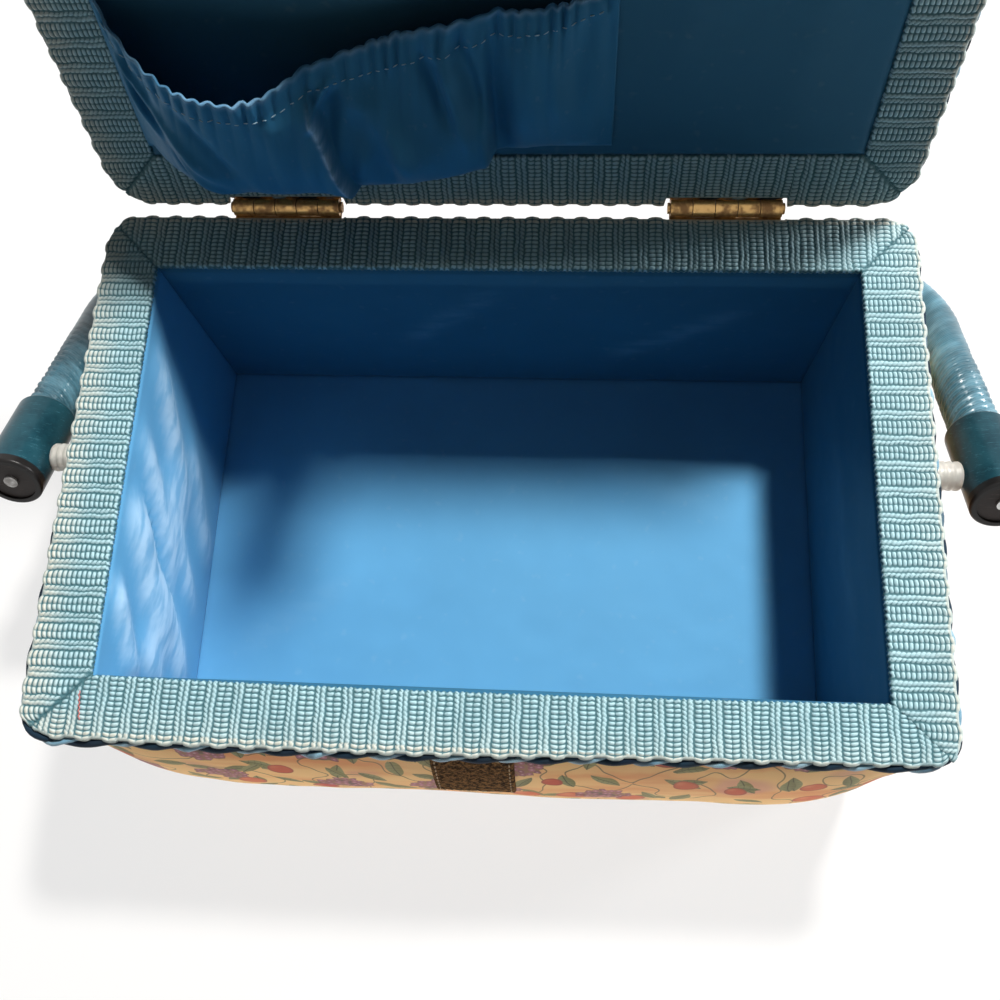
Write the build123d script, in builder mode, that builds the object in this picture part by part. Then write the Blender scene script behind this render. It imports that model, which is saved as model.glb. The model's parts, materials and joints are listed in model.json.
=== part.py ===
from build123d import *
import math
import os

# Padded sewing box with one hinged, padded lid and a swinging bail handle.
# Millimetres. X to the right, Y to the back, Z up; the origin is under the middle of the box,
# on the face that it stands on. The lid is modelled open and the handle folded down at the back.

# --- driving dimensions: box ---
RIM_WIDTH = 280.0            # over the braid on the rim, left to right
RIM_DEPTH = 180.0            # over the braid on the rim, front to back
INNER_DEPTH = 92.0           # from the rim down to the floor lining
BRAID_WIDTH = 19.0           # gimp braid laid flat on the rim
BRAID_THICK = 2.0
RIM_CORNER = 12.0            # plan radius of the rim's outer corners
OPENING_CORNER = 2.0

BOTTOM_THICK = 1.5           # stiff cloth panel under the base
BASE_THICK = 7.0             # base board
FLOOR_LINING_THICK = 3.0     # satin over thin wadding on card
WALL_LINING_THICK = 2.5
WALL_THICK = 9.0             # wall boards

COVER_THICK = 0.8            # printed cotton
COVER_MARGIN = 2.5           # the cover's top edge stands this far inside the braid's edge
COVER_CORNER = 10.0
FRONT_SWELL = 12.5           # how far the padding swells at mid height, front and back
SIDE_SWELL = 8.0             # the same on the left and right
SWELL_POWER = 0.8            # shapes the swell from top to bottom
SWELL_STATIONS = (0.0, 0.03, 0.08, 0.16, 0.27, 0.4, 0.5, 0.6, 0.73, 0.84, 0.92, 0.97, 1.0)
SHOULDERS = ((14.0, 0.55), (34.0, 0.93))     # along a wall from its corner; the swell's share there
BOTTOM_INSET = 1.5           # the bottom panel stops this far inside the cover's edge

CORD_RADIUS = 1.3            # twisted cord under the braid's edge

PATCH_WIDTH = 26.0           # loop patch of the closure, on the front wall
PATCH_HEIGHT = 27.0
PATCH_THICK = 1.4
PATCH_DROP = 8.0             # from the rim down to the patch
PATCH_X = -2.5

# --- driving dimensions: hinges ---
OPEN_ANGLE = 105.0           # from shut
PIN_BEHIND_RIM = 4.5         # from the rim's back edge to the pin
HALF_GAP = 0.25              # half the gap between the two braids when the lid is shut
HINGE_LENGTH = 38.0
HINGE_FROM_SIDE = 63.5       # from the rim's side edge to the middle of a hinge
LEAF_THICK = 1.0
LEAF_REACH = 20.0            # from the pin to the leaf's far edge
KNUCKLE_BITE = 0.7           # how far a knuckle reaches into its leaf's thickness
KNUCKLE_COUNT = 5
KNUCKLE_GAP = 0.3
PIN_RADIUS = 1.2
PIN_CLEARANCE = 0.05
PIN_HEAD_RADIUS = 1.9
PIN_HEAD_LENGTH = 0.8
KNUCKLE_ROOM = 0.45          # cloth and braid are cut back this far round a knuckle
HINGE_SCREW_RADIUS = 1.2
HINGE_SCREW_HEAD = 2.3
HINGE_SCREW_LENGTH = 3.4
HINGE_SCREW_SPACING = 24.0
HINGE_SCREW_FROM_PIN = 16.0
SCREW_FIT = 0.05             # round a screw in the hole that it fills

# --- driving dimensions: lid ---
LID_SIDE_INSET = 2.5         # the lid's braid stands this far inside the rim's, left and right
LID_FRONT_INSET = 3.0        # and at the front
LID_BRAID_WIDTH = 19.5
LID_FROM_PIN = 1.5           # from the pin to the lid braid's back edge
LID_CORNER = 14.0
LID_COVER_INSET = 2.5        # the lid cover's edge stands this far inside the braid's edge
LID_BOARD_THICK = 4.5
LID_LINING_THICK = 1.2
CROWN_HEIGHT = 19.3          # of the padded crown over the lid board
CROWN_FLAT = 51.0            # depth of the crown's flat middle, front to back
CROWN_CORNER = 30.0          # plan radius of its corners
CROWN_STEPS = 8
CROWN_SWEEP = 85.0           # degrees of the crown's elliptical profile

# --- driving dimensions: lid pocket ---
POCKET_SHEET = 1.6
POCKET_ABOVE_BRAID = 4.5     # from the lid braid's inner edge to the pocket's bottom seam
ELASTIC_WIDTH = 5.0
ELASTIC_THICK = 0.6
ELASTIC_FROM_HEM = 1.5
# place from the lining's left edge, hem height over the bottom seam, hem stand-off, belly stand-off
POCKET_STATIONS = (
    (1.0, 57.5, 2.2, 2.6),
    (6.0, 56.5, 9.0, 12.5),
    (13.0, 54.0, 15.5, 14.5),
    (30.0, 47.5, 20.0, 15.0),
    (61.0, 51.5, 14.0, 15.0),
    (93.0, 55.0, 9.5, 14.5),
    (118.0, 56.0, 7.0, 8.5),
    (140.0, 55.0, 4.5, 5.0),
    (154.5, 53.5, 2.2, 2.2),
)
# down the pocket: share of the way from the bottom seam to half way up, and shares of belly and hem
POCKET_BELLY = ((0.05, 0.7, 0.0), (0.45, 1.0, 0.0), (1.0, 0.55, 0.45))

# --- driving dimensions: closure tab ---
TAB_WIDTH = 28.0
TAB_THICK = 1.5
TAB_GAP = 0.5                # between the two halves of the closure when shut
TAB_SEAM_GAP = 0.3           # from the lid's front edge to the tab's fixed end
TAB_PAST_PATCH = 3.0         # from the patch's lower edge down to the tab's end, when shut
HOOK_THICK = 1.2
GLUE_THICK = 0.1             # between the tab and its hook patch

# --- driving dimensions: handle ---
PIVOT_Y = 2.5
PIVOT_DROP = 9.5             # from the rim down to the pivot
ARM_FROM_RIM = 20.5          # from the rim's side edge out to an arm's axis
BEND_RADIUS = 42.0
HANDLE_REST = 27.0           # degrees below level, folded back
HANDLE_REST_GAP = 1.4        # from the crossbar to the padded back wall
WRAP_RADIUS = 8.0
WRAP_THICK = 2.0             # of the winding on its core
FERRULE_WALL = 2.15
FERRULE_TAIL = 12.5          # from the pivot to the ferrule's end face
FERRULE_NOSE = 21.0          # from the pivot to the ferrule's lip on the wrapping
FERRULE_FILLET = 1.0
CAP_THICK = 2.5
CAP_RECESS = 0.8
CAP_SCREW_RADIUS = 2.3
CAP_SCREW_SHANK = 1.1
CAP_SCREW_LENGTH = 5.0
SLIP = 0.1                   # round pieces pushed one inside the other
SPACER_RADIUS = 4.8
PIVOT_SCREW_RADIUS = 2.0
PIVOT_BORE_CLEARANCE = 0.06
PIVOT_GAP = 0.3              # between the ferrule and what stands beside it
PIVOT_HEAD_RADIUS = 4.5
PIVOT_HEAD_HEIGHT = 2.4
INSERT_RADIUS = 3.6
INSERT_BACKING = 1.0         # board left behind an insert
HEAD_SLOT_WIDTH = 1.2        # in the pivot screws' heads
HEAD_SLOT_DEPTH = 0.8

# --- worked out ---
BASE_BOTTOM = BOTTOM_THICK
BASE_TOP = BASE_BOTTOM + BASE_THICK
FLOOR_Z = BASE_TOP + FLOOR_LINING_THICK
RIM_Z = FLOOR_Z + INNER_DEPTH
WALL_TOP = RIM_Z - BRAID_THICK
WALL_HEIGHT = WALL_TOP - BASE_TOP
SWELL_TOP = WALL_TOP - 2 * CORD_RADIUS       # the padding swells from the base up to the cord

OPENING_X = RIM_WIDTH / 2 - BRAID_WIDTH
OPENING_Y = RIM_DEPTH / 2 - BRAID_WIDTH
BOARD_X = OPENING_X + WALL_LINING_THICK + WALL_THICK
BOARD_Y = OPENING_Y + WALL_LINING_THICK + WALL_THICK
COVER_X = RIM_WIDTH / 2 - COVER_MARGIN
COVER_Y = RIM_DEPTH / 2 - COVER_MARGIN
PAD_REACH = 2 * (COVER_X - BOARD_X + max(FRONT_SWELL, SIDE_SWELL))     # well past the cover

PIN_Y = RIM_DEPTH / 2 + PIN_BEHIND_RIM
PIN_Z = RIM_Z + HALF_GAP
PIVOT_Z = RIM_Z - PIVOT_DROP
HINGE_PLACES = (HINGE_FROM_SIDE - RIM_WIDTH / 2, RIM_WIDTH / 2 - HINGE_FROM_SIDE)

LID_WIDTH = RIM_WIDTH - 2 * LID_SIDE_INSET
LID_DEPTH = RIM_DEPTH + PIN_BEHIND_RIM - LID_FRONT_INSET - LID_FROM_PIN
CROWN_INSET = (LID_DEPTH - CROWN_FLAT) / 2 - LID_COVER_INSET   # from the cover's edge to the flat
LID_LINING_WIDTH = LID_WIDTH - 2 * LID_BRAID_WIDTH
LID_LINING_DEPTH = LID_DEPTH - 2 * LID_BRAID_WIDTH

open_angle = math.radians(OPEN_ANGLE)
LID_OUT = (0, math.sin(open_angle), math.cos(open_angle))      # out of the lid's padded side
LID_BACK = (0, math.cos(open_angle), -math.sin(open_angle))    # from the lid's front to its hinges
LID_FACE = HALF_GAP                                            # the lid braid's bare face
LID_SEAT = LID_FACE + BRAID_THICK                              # the lid board's bare face
LID_LINING_FACE = LID_SEAT - LID_LINING_THICK
LID_PADDING_SEAT = LID_SEAT + LID_BOARD_THICK
KNUCKLE_RADIUS = LID_SEAT + KNUCKLE_BITE
POCKET_SEAM = LID_FROM_PIN + LID_BRAID_WIDTH + POCKET_ABOVE_BRAID

rest_angle = math.radians(HANDLE_REST)
ARM_DIRECTION = (0, math.cos(rest_angle), -math.sin(rest_angle))
HANDLE_NORMAL = (0, math.sin(rest_angle), math.cos(rest_angle))
ARM_X = RIM_WIDTH / 2 + ARM_FROM_RIM
REACH = (COVER_Y + FRONT_SWELL + HANDLE_REST_GAP + WRAP_RADIUS - PIVOT_Y) / math.cos(rest_angle)
CORE_RADIUS = WRAP_RADIUS - WRAP_THICK
FERRULE_RADIUS = WRAP_RADIUS + SLIP + FERRULE_WALL
CORE_START = -FERRULE_TAIL + CAP_RECESS + CAP_THICK            # where the core and winding begin
HEAD_SEAT = ARM_X + FERRULE_RADIUS + PIVOT_GAP                 # under the pivot screws' heads
INSERT_INNER = BOARD_X - WALL_THICK + INSERT_BACKING


def lid_level(height):
    """Plane parallel to the lid, under its middle, at a height over the hinge pins when shut."""
    hinge = Plane(origin=(0, PIN_Y, PIN_Z), x_dir=(1, 0, 0), z_dir=LID_OUT)
    middle = hinge.from_local_coords((0, -LID_FROM_PIN - LID_DEPTH / 2, height))
    return Plane(origin=middle, x_dir=(1, 0, 0), z_dir=LID_OUT)


def lid_section(x):
    """Plane across the lid. Its axes run to the back and up, measured from the pins when shut."""
    return Plane(origin=(x, PIN_Y, PIN_Z), x_dir=LID_BACK, z_dir=(1, 0, 0))


def box_section(x):
    """Plane across the box. Its axes run to the back and up, measured from the hinge pins."""
    return Plane(origin=(x, PIN_Y, PIN_Z), x_dir=(0, 1, 0), z_dir=(1, 0, 0))


def handle_plane():
    """Plane of the bail: across the box, and from the pivots along the arms."""
    return Plane(origin=(0, PIVOT_Y, PIVOT_Z), x_dir=(1, 0, 0), z_dir=HANDLE_NORMAL)


def pivot_plane(side, x):
    """Plane square to the pivots at a distance from the middle, facing outwards on one side."""
    return Plane(origin=(side * x, PIVOT_Y, PIVOT_Z), z_dir=(side, 0, 0))


pieces = []


def keep(part, name):
    """Label a finished piece and queue it for export."""
    part.label = name
    pieces.append(part)
    return part


# --- the padded walls ---
def swell_share(height):
    """How far the padding has swollen at a height, from 0 at its edges to 1 half way up."""
    share = (height - BASE_BOTTOM) / (SWELL_TOP - BASE_BOTTOM)
    return math.sin(math.pi * share) ** SWELL_POWER if 0 < share < 1 else 0.0


def padded_walls(inset):
    """Solid inside the swollen outline of the four padded walls, moved in by inset."""
    half_x = COVER_X - inset
    half_y = COVER_Y - inset
    heights = [BASE_BOTTOM + share * (SWELL_TOP - BASE_BOTTOM) for share in SWELL_STATIONS]
    with BuildPart() as walls:
        for height in [*heights, WALL_TOP]:
            rise = swell_share(height)
            with BuildSketch(Plane.XY.offset(height)):
                with BuildLine():
                    for turn in range(4):
                        long_half, far_half = (half_x, half_y) if turn % 2 == 0 else (half_y, half_x)
                        swell = rise * (FRONT_SWELL if turn % 2 == 0 else SIDE_SWELL)
                        end = long_half - COVER_CORNER
                        out = far_half
                        rising = [(end - along, -out - share * swell) for along, share in SHOULDERS]
                        half = [(end, -out), *rising]
                        points = [
                            *[(-x, y) for x, y in half],
                            (0, -out - swell),
                            *reversed(half),
                        ]
                        bend = COVER_CORNER * math.sqrt(0.5)
                        corner = [
                            (end, -out),
                            (end + bend, -out + COVER_CORNER - bend),
                            (long_half, -out + COVER_CORNER),
                        ]
                        spun = [Vector(x, y).rotate(Axis.Z, 90 * turn) for x, y in points]
                        ends = [Vector(1, 0).rotate(Axis.Z, 90 * turn)] * 2
                        Spline(*spun, tangents=ends)
                        ThreePointArc(*[Vector(x, y).rotate(Axis.Z, 90 * turn) for x, y in corner])
                make_face()
        loft(ruled=True)
    return walls.part


outer_walls = padded_walls(0)
inner_walls = padded_walls(COVER_THICK)


# --- cutters and blanks that several pieces share ---
def leaf_blank(section, x, seat):
    """Flat blank of one hinge leaf, its bare face at a seat level from the pin."""
    with BuildPart() as blank:
        with BuildSketch(section(x - HINGE_LENGTH / 2)):
            with Locations((-LEAF_REACH / 2, seat)):
                Rectangle(LEAF_REACH, LEAF_THICK)
        extrude(amount=HINGE_LENGTH)
    return blank.part


def knuckle_room(x):
    """Cylinder that cloth, braid and cord keep out of, round one hinge."""
    with BuildPart() as room:
        end = HINGE_LENGTH / 2 + PIN_HEAD_LENGTH + KNUCKLE_ROOM
        with BuildSketch(box_section(x - end)):
            Circle(KNUCKLE_RADIUS + KNUCKLE_ROOM)
        extrude(amount=2 * end)
    return room.part


def screw_shanks(radius):
    """The two handle screws' shanks, or their holes, from the wall boards outwards."""
    with BuildPart() as shanks:
        for side in (-1, 1):
            with BuildSketch(pivot_plane(side, INSERT_INNER)):
                Circle(radius)
            extrude(amount=HEAD_SEAT - INSERT_INNER)
    return shanks.part


body_leaf_blanks = [leaf_blank(box_section, x, -LID_SEAT - LEAF_THICK / 2) for x in HINGE_PLACES]
lid_leaf_blanks = [leaf_blank(lid_section, x, LID_SEAT + LEAF_THICK / 2) for x in HINGE_PLACES]
knuckle_rooms = [knuckle_room(x) for x in HINGE_PLACES]
insert_holes = screw_shanks(INSERT_RADIUS)
spacer_holes = screw_shanks(SPACER_RADIUS)
pivot_bores = screw_shanks(PIVOT_SCREW_RADIUS + PIVOT_BORE_CLEARANCE)

# --- base, boards and linings ---
with BuildPart() as bottom_panel:
    with BuildSketch():
        RectangleRounded(2 * (COVER_X - BOTTOM_INSET), 2 * (COVER_Y - BOTTOM_INSET), COVER_CORNER)
    extrude(amount=BOTTOM_THICK)
keep(bottom_panel.part, "bottom_panel")

with BuildPart() as base_board:
    with BuildSketch(Plane.XY.offset(BASE_BOTTOM)):
        Rectangle(2 * BOARD_X, 2 * BOARD_Y)
    extrude(amount=BASE_THICK)
keep(base_board.part, "base_board")

hinge_screw_places = [
    (x + step * HINGE_SCREW_SPACING / 2, PIN_Y - HINGE_SCREW_FROM_PIN)
    for x in HINGE_PLACES
    for step in (-1, 1)
]

for name, side in (("front_board", -1), ("back_board", 1)):
    with BuildPart() as board:
        with BuildSketch(Plane.XY.offset(BASE_TOP)):
            with Locations((0, side * (BOARD_Y - WALL_THICK / 2))):
                Rectangle(2 * BOARD_X, WALL_THICK)
        extrude(amount=WALL_HEIGHT)
        if side > 0:
            add(body_leaf_blanks, mode=Mode.SUBTRACT)
            with BuildSketch(Plane.XY.offset(WALL_TOP)):
                with Locations(*hinge_screw_places):
                    Circle(HINGE_SCREW_RADIUS + SCREW_FIT)
            extrude(amount=-LEAF_THICK - HINGE_SCREW_LENGTH, mode=Mode.SUBTRACT)
    keep(board.part, name)

for name, side in (("left_board", -1), ("right_board", 1)):
    with BuildPart() as board:
        with BuildSketch(Plane.XY.offset(BASE_TOP)):
            with Locations((side * (BOARD_X - WALL_THICK / 2), 0)):
                Rectangle(WALL_THICK, 2 * (BOARD_Y - WALL_THICK))
        extrude(amount=WALL_HEIGHT)
        add(insert_holes, mode=Mode.SUBTRACT)
    keep(board.part, name)

with BuildPart() as floor_lining:
    with BuildSketch(Plane.XY.offset(BASE_TOP)):
        Rectangle(2 * (OPENING_X + WALL_LINING_THICK), 2 * (OPENING_Y + WALL_LINING_THICK))
    extrude(amount=FLOOR_LINING_THICK)
keep(floor_lining.part, "floor_lining")

for name, side in (("front_lining", -1), ("back_lining", 1)):
    with BuildPart() as lining:
        with BuildSketch(Plane.XY.offset(FLOOR_Z)):
            with Locations((0, side * (OPENING_Y + WALL_LINING_THICK / 2))):
                Rectangle(2 * OPENING_X, WALL_LINING_THICK)
        extrude(amount=WALL_TOP - FLOOR_Z)
    keep(lining.part, name)

for name, side in (("left_lining", -1), ("right_lining", 1)):
    with BuildPart() as lining:
        with BuildSketch(Plane.XY.offset(FLOOR_Z)):
            with Locations((side * (OPENING_X + WALL_LINING_THICK / 2), 0)):
                Rectangle(WALL_LINING_THICK, 2 * (OPENING_Y + WALL_LINING_THICK))
        extrude(amount=WALL_TOP - FLOOR_Z)
    keep(lining.part, name)

# --- padding behind the cover, one pad for each wall, mitred at the corners ---
for name, turn in (("front_padding", 0), ("right_padding", 1), ("back_padding", 2), ("left_padding", 3)):
    long_half, far_half = (BOARD_X, BOARD_Y) if turn % 2 == 0 else (BOARD_Y, BOARD_X)
    wedge = [
        (-long_half, -far_half),
        (long_half, -far_half),
        (long_half + PAD_REACH, -far_half - PAD_REACH),
        (-long_half - PAD_REACH, -far_half - PAD_REACH),
    ]
    with BuildPart() as padding:
        with BuildSketch(Plane.XY.offset(BASE_BOTTOM)):
            with BuildLine():
                Polyline(*[Vector(x, y).rotate(Axis.Z, 90 * turn) for x, y in wedge], close=True)
            make_face()
        extrude(amount=WALL_TOP - BASE_BOTTOM)
        add(inner_walls, mode=Mode.INTERSECT)
        if name == "back_padding":
            add(body_leaf_blanks, mode=Mode.SUBTRACT)
        if turn % 2 == 1:
            add(spacer_holes, mode=Mode.SUBTRACT)
    keep(padding.part, name)

with BuildPart() as body_cover:
    add(outer_walls)
    add(inner_walls, mode=Mode.SUBTRACT)
    add(body_leaf_blanks, mode=Mode.SUBTRACT)
    add(spacer_holes, mode=Mode.SUBTRACT)
keep(body_cover.part, "body_cover")

patch_face = padded_walls(-PATCH_THICK)
with BuildPart() as closure_patch:
    with BuildSketch(Plane.XZ.offset(BOARD_Y)):
        with Locations((PATCH_X, RIM_Z - PATCH_DROP - PATCH_HEIGHT / 2)):
            RectangleRounded(PATCH_WIDTH, PATCH_HEIGHT, PATCH_THICK)
    extrude(amount=PAD_REACH)
    add(patch_face, mode=Mode.INTERSECT)
    add(outer_walls, mode=Mode.SUBTRACT)
keep(closure_patch.part, "closure_patch")

# --- braid and twisted cord round the rim ---
with BuildPart() as rim_braid:
    with BuildSketch(Plane.XY.offset(WALL_TOP)):
        RectangleRounded(RIM_WIDTH, RIM_DEPTH, RIM_CORNER)
        RectangleRounded(2 * OPENING_X, 2 * OPENING_Y, OPENING_CORNER, mode=Mode.SUBTRACT)
    extrude(amount=BRAID_THICK)
    add(knuckle_rooms, mode=Mode.SUBTRACT)
keep(rim_braid.part, "rim_braid")


def cord_ring(plane, half_x, half_y, corner):
    """Round cord laid against the outside of a rounded rectangle."""
    with BuildSketch(plane) as outline:
        RectangleRounded(2 * (half_x + CORD_RADIUS), 2 * (half_y + CORD_RADIUS), corner + CORD_RADIUS)
    path = outline.sketch.face().outer_wire()
    with BuildPart() as ring:
        with BuildSketch(Plane(origin=path @ 0, z_dir=path % 0)):
            Circle(CORD_RADIUS)
        sweep(path=path)
    return ring.part


rim_cord_ring = cord_ring(Plane.XY.offset(WALL_TOP - CORD_RADIUS), COVER_X, COVER_Y, COVER_CORNER)
with BuildPart() as rim_cord:
    add(rim_cord_ring)
    add(body_leaf_blanks, mode=Mode.SUBTRACT)
    add(knuckle_rooms, mode=Mode.SUBTRACT)
keep(rim_cord.part, "rim_cord")

# --- hinges ---
knuckle_pitch = HINGE_LENGTH / KNUCKLE_COUNT


def hinge_leaf(section, x, blank, own_knuckles, screws):
    """A leaf with its own knuckles on the pin, and room for its screws."""
    start = x - HINGE_LENGTH / 2
    with BuildPart() as hinge:
        add(blank)
        for knuckle in range(KNUCKLE_COUNT):
            at = start + knuckle * knuckle_pitch
            if knuckle in own_knuckles:
                with BuildSketch(section(at + KNUCKLE_GAP / 2)):
                    Circle(KNUCKLE_RADIUS)
                extrude(amount=knuckle_pitch - KNUCKLE_GAP)
            else:
                with BuildSketch(section(at - KNUCKLE_GAP / 2)):
                    Circle(KNUCKLE_RADIUS + KNUCKLE_GAP)
                extrude(amount=knuckle_pitch + KNUCKLE_GAP, mode=Mode.SUBTRACT)
        with BuildSketch(section(start)):
            Circle(PIN_RADIUS + PIN_CLEARANCE)
        extrude(amount=HINGE_LENGTH, mode=Mode.SUBTRACT)
        add(screws, mode=Mode.SUBTRACT)
    return hinge.part


def countersunk_screws(plane, places, clearance=0.0):
    """Countersunk screws, heads flush with the plane that they enter; or the room they need."""
    with BuildPart(plane) as screws:
        with Locations(*places):
            Cone(
                HINGE_SCREW_RADIUS + clearance,
                HINGE_SCREW_HEAD + clearance,
                LEAF_THICK,
                align=(Align.CENTER, Align.CENTER, Align.MAX),
            )
        with Locations(*[(x, y, -LEAF_THICK) for x, y in places]):
            Cylinder(
                HINGE_SCREW_RADIUS + clearance,
                HINGE_SCREW_LENGTH,
                align=(Align.CENTER, Align.CENTER, Align.MAX),
            )
    return screws.part


# The lid's screws enter from its bare face, so their plane is the lid's, turned over.
lid_screw_plane = Plane(
    origin=lid_section(0).from_local_coords((0, LID_SEAT, 0)),
    x_dir=(1, 0, 0),
    z_dir=Vector(*LID_OUT) * -1,
)
lid_screw_places = [
    (x + step * HINGE_SCREW_SPACING / 2, HINGE_SCREW_FROM_PIN)
    for x in HINGE_PLACES
    for step in (-1, 1)
]
body_screw_plane = Plane.XY.offset(WALL_TOP)
body_screw_rooms = countersunk_screws(body_screw_plane, hinge_screw_places, SCREW_FIT)
lid_screw_rooms = countersunk_screws(lid_screw_plane, lid_screw_places, SCREW_FIT)
body_knuckles = range(0, KNUCKLE_COUNT, 2)
lid_knuckles = range(1, KNUCKLE_COUNT, 2)

for name, x, body_blank, lid_blank in zip(
    ("left_hinge", "right_hinge"), HINGE_PLACES, body_leaf_blanks, lid_leaf_blanks
):
    body_leaf = hinge_leaf(box_section, x, body_blank, body_knuckles, body_screw_rooms)
    keep(body_leaf, name + "_body_leaf")
    lid_leaf = hinge_leaf(lid_section, x, lid_blank, lid_knuckles, lid_screw_rooms)
    keep(lid_leaf, name + "_lid_leaf")

    with BuildPart() as pin:
        with BuildSketch(box_section(x - HINGE_LENGTH / 2)):
            Circle(PIN_RADIUS)
        extrude(amount=HINGE_LENGTH)
        for end, away in ((-1, -PIN_HEAD_LENGTH), (1, PIN_HEAD_LENGTH)):
            with BuildSketch(box_section(x + end * HINGE_LENGTH / 2)):
                Circle(PIN_HEAD_RADIUS)
            extrude(amount=away)
    keep(pin.part, name + "_pin")

keep(countersunk_screws(body_screw_plane, hinge_screw_places), "body_hinge_screws")
keep(countersunk_screws(lid_screw_plane, lid_screw_places), "lid_hinge_screws")


# --- lid ---
def lid_dome(inset):
    """Solid under the lid's padded crown, from its bare face up, moved in by inset."""
    edge = LID_COVER_INSET + inset
    stations = [(0.0, LID_SEAT), (0.0, LID_PADDING_SEAT)]
    for step in range(1, CROWN_STEPS + 1):
        angle = math.radians(CROWN_SWEEP * step / CROWN_STEPS)
        rise = (CROWN_HEIGHT - inset) * math.sin(angle)
        stations.append((CROWN_INSET * (1 - math.cos(angle)), LID_PADDING_SEAT + rise))
    with BuildPart() as dome:
        for crown_in, height in stations:
            rounder = (CROWN_CORNER - LID_CORNER) * crown_in / CROWN_INSET
            with BuildSketch(lid_level(height)):
                RectangleRounded(
                    LID_WIDTH - 2 * (edge + crown_in),
                    LID_DEPTH - 2 * (edge + crown_in),
                    LID_CORNER - edge + rounder,
                )
        loft(ruled=True)
    return dome.part


lid_outer = lid_dome(0)
lid_inner = lid_dome(COVER_THICK)
lid_board_edge = LID_COVER_INSET + COVER_THICK

with BuildPart() as lid_board:
    with BuildSketch(lid_level(LID_SEAT)):
        RectangleRounded(
            LID_WIDTH - 2 * lid_board_edge, LID_DEPTH - 2 * lid_board_edge, LID_CORNER - lid_board_edge
        )
    extrude(amount=LID_BOARD_THICK)
    add(lid_leaf_blanks, mode=Mode.SUBTRACT)
    add(knuckle_rooms, mode=Mode.SUBTRACT)
    add(lid_screw_rooms, mode=Mode.SUBTRACT)
keep(lid_board.part, "lid_board")

with BuildPart() as lid_padding:
    add(lid_inner)
    with BuildSketch(lid_level(LID_SEAT)):
        Rectangle(LID_WIDTH, LID_DEPTH)
    extrude(amount=LID_BOARD_THICK, mode=Mode.SUBTRACT)
keep(lid_padding.part, "lid_padding")

with BuildPart() as lid_cover:
    add(lid_outer)
    add(lid_inner, mode=Mode.SUBTRACT)
    add(lid_board.part, mode=Mode.SUBTRACT)
    add(lid_leaf_blanks, mode=Mode.SUBTRACT)
    add(knuckle_rooms, mode=Mode.SUBTRACT)
keep(lid_cover.part, "lid_cover")

with BuildPart() as lid_lining:
    with BuildSketch(lid_level(LID_LINING_FACE)):
        RectangleRounded(LID_LINING_WIDTH, LID_LINING_DEPTH, OPENING_CORNER)
    extrude(amount=LID_LINING_THICK)
keep(lid_lining.part, "lid_lining")

with BuildPart() as lid_braid:
    with BuildSketch(lid_level(LID_FACE)):
        RectangleRounded(LID_WIDTH, LID_DEPTH, LID_CORNER)
        RectangleRounded(LID_LINING_WIDTH, LID_LINING_DEPTH, OPENING_CORNER, mode=Mode.SUBTRACT)
    extrude(amount=BRAID_THICK)
    add(knuckle_rooms, mode=Mode.SUBTRACT)
keep(lid_braid.part, "lid_braid")

lid_cord_ring = cord_ring(
    lid_level(LID_SEAT + CORD_RADIUS),
    LID_WIDTH / 2 - LID_COVER_INSET,
    LID_DEPTH / 2 - LID_COVER_INSET,
    LID_CORNER - LID_COVER_INSET,
)
with BuildPart() as lid_cord:
    add(lid_cord_ring)
    add(lid_leaf_blanks, mode=Mode.SUBTRACT)
    add(knuckle_rooms, mode=Mode.SUBTRACT)
keep(lid_cord.part, "lid_cord")


# --- gathered pocket on the lid's lining ---
def pocket_place(across):
    """Where a place on the lining, measured from its left edge, lies left to right."""
    return across - LID_LINING_WIDTH / 2


def pocket_profile(hem, stand_off, belly, inset):
    """Points of the pocket's front sheet across the lid, from the bottom seam to the hem."""
    seam = POCKET_SEAM + inset
    swell = belly - inset
    lift = stand_off - inset
    middle = hem / 2
    rising = [
        (-seam - along * middle, LID_LINING_FACE - of_belly * swell - of_hem * lift)
        for along, of_belly, of_hem in POCKET_BELLY
    ]
    return [(-seam, LID_LINING_FACE), *rising, (-POCKET_SEAM - hem, LID_LINING_FACE - lift)]


def pocket_form(inset, beyond):
    """Solid behind the pocket's front sheet; beyond lengthens it past its mouth and its back."""
    last = len(POCKET_STATIONS) - 1
    with BuildPart() as form:
        for index, (across, hem, stand_off, belly) in enumerate(POCKET_STATIONS):
            place = pocket_place(across) + inset * ((index == 0) - (index == last))
            points = pocket_profile(hem, stand_off, belly, inset)
            mouth = points[-1][0] - beyond
            back = LID_LINING_FACE + beyond
            around = [points[-1], (mouth, back), (points[0][0], back)]
            if beyond:
                around = [points[-1], (mouth, points[-1][1]), *around[1:], points[0]]
            with BuildSketch(lid_section(place)):
                with BuildLine():
                    Spline(*points)
                    Polyline(*around)
                make_face()
        loft(ruled=True)
    return form.part


def elastic_strip():
    """Flat elastic inside the pocket's hem, in the middle of the sheet."""
    with BuildPart() as strip:
        for across, hem, stand_off, belly in POCKET_STATIONS:
            points = pocket_profile(hem, stand_off, belly, (POCKET_SHEET - ELASTIC_THICK) / 2)
            top = Vector(*points[-1])
            down = (Vector(*points[-2]) - top).normalized()
            through = Vector(0, 1) * ELASTIC_THICK
            near = top + down * ELASTIC_FROM_HEM
            far = near + down * ELASTIC_WIDTH
            with BuildSketch(lid_section(pocket_place(across))):
                with BuildLine():
                    Polyline(near, far, far + through, near + through, close=True)
                make_face()
        loft(ruled=True)
    return strip.part


elastic = elastic_strip()
pocket_outside = pocket_form(0.0, 0.0)
pocket_inside = pocket_form(POCKET_SHEET, 2 * POCKET_SHEET)

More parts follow.
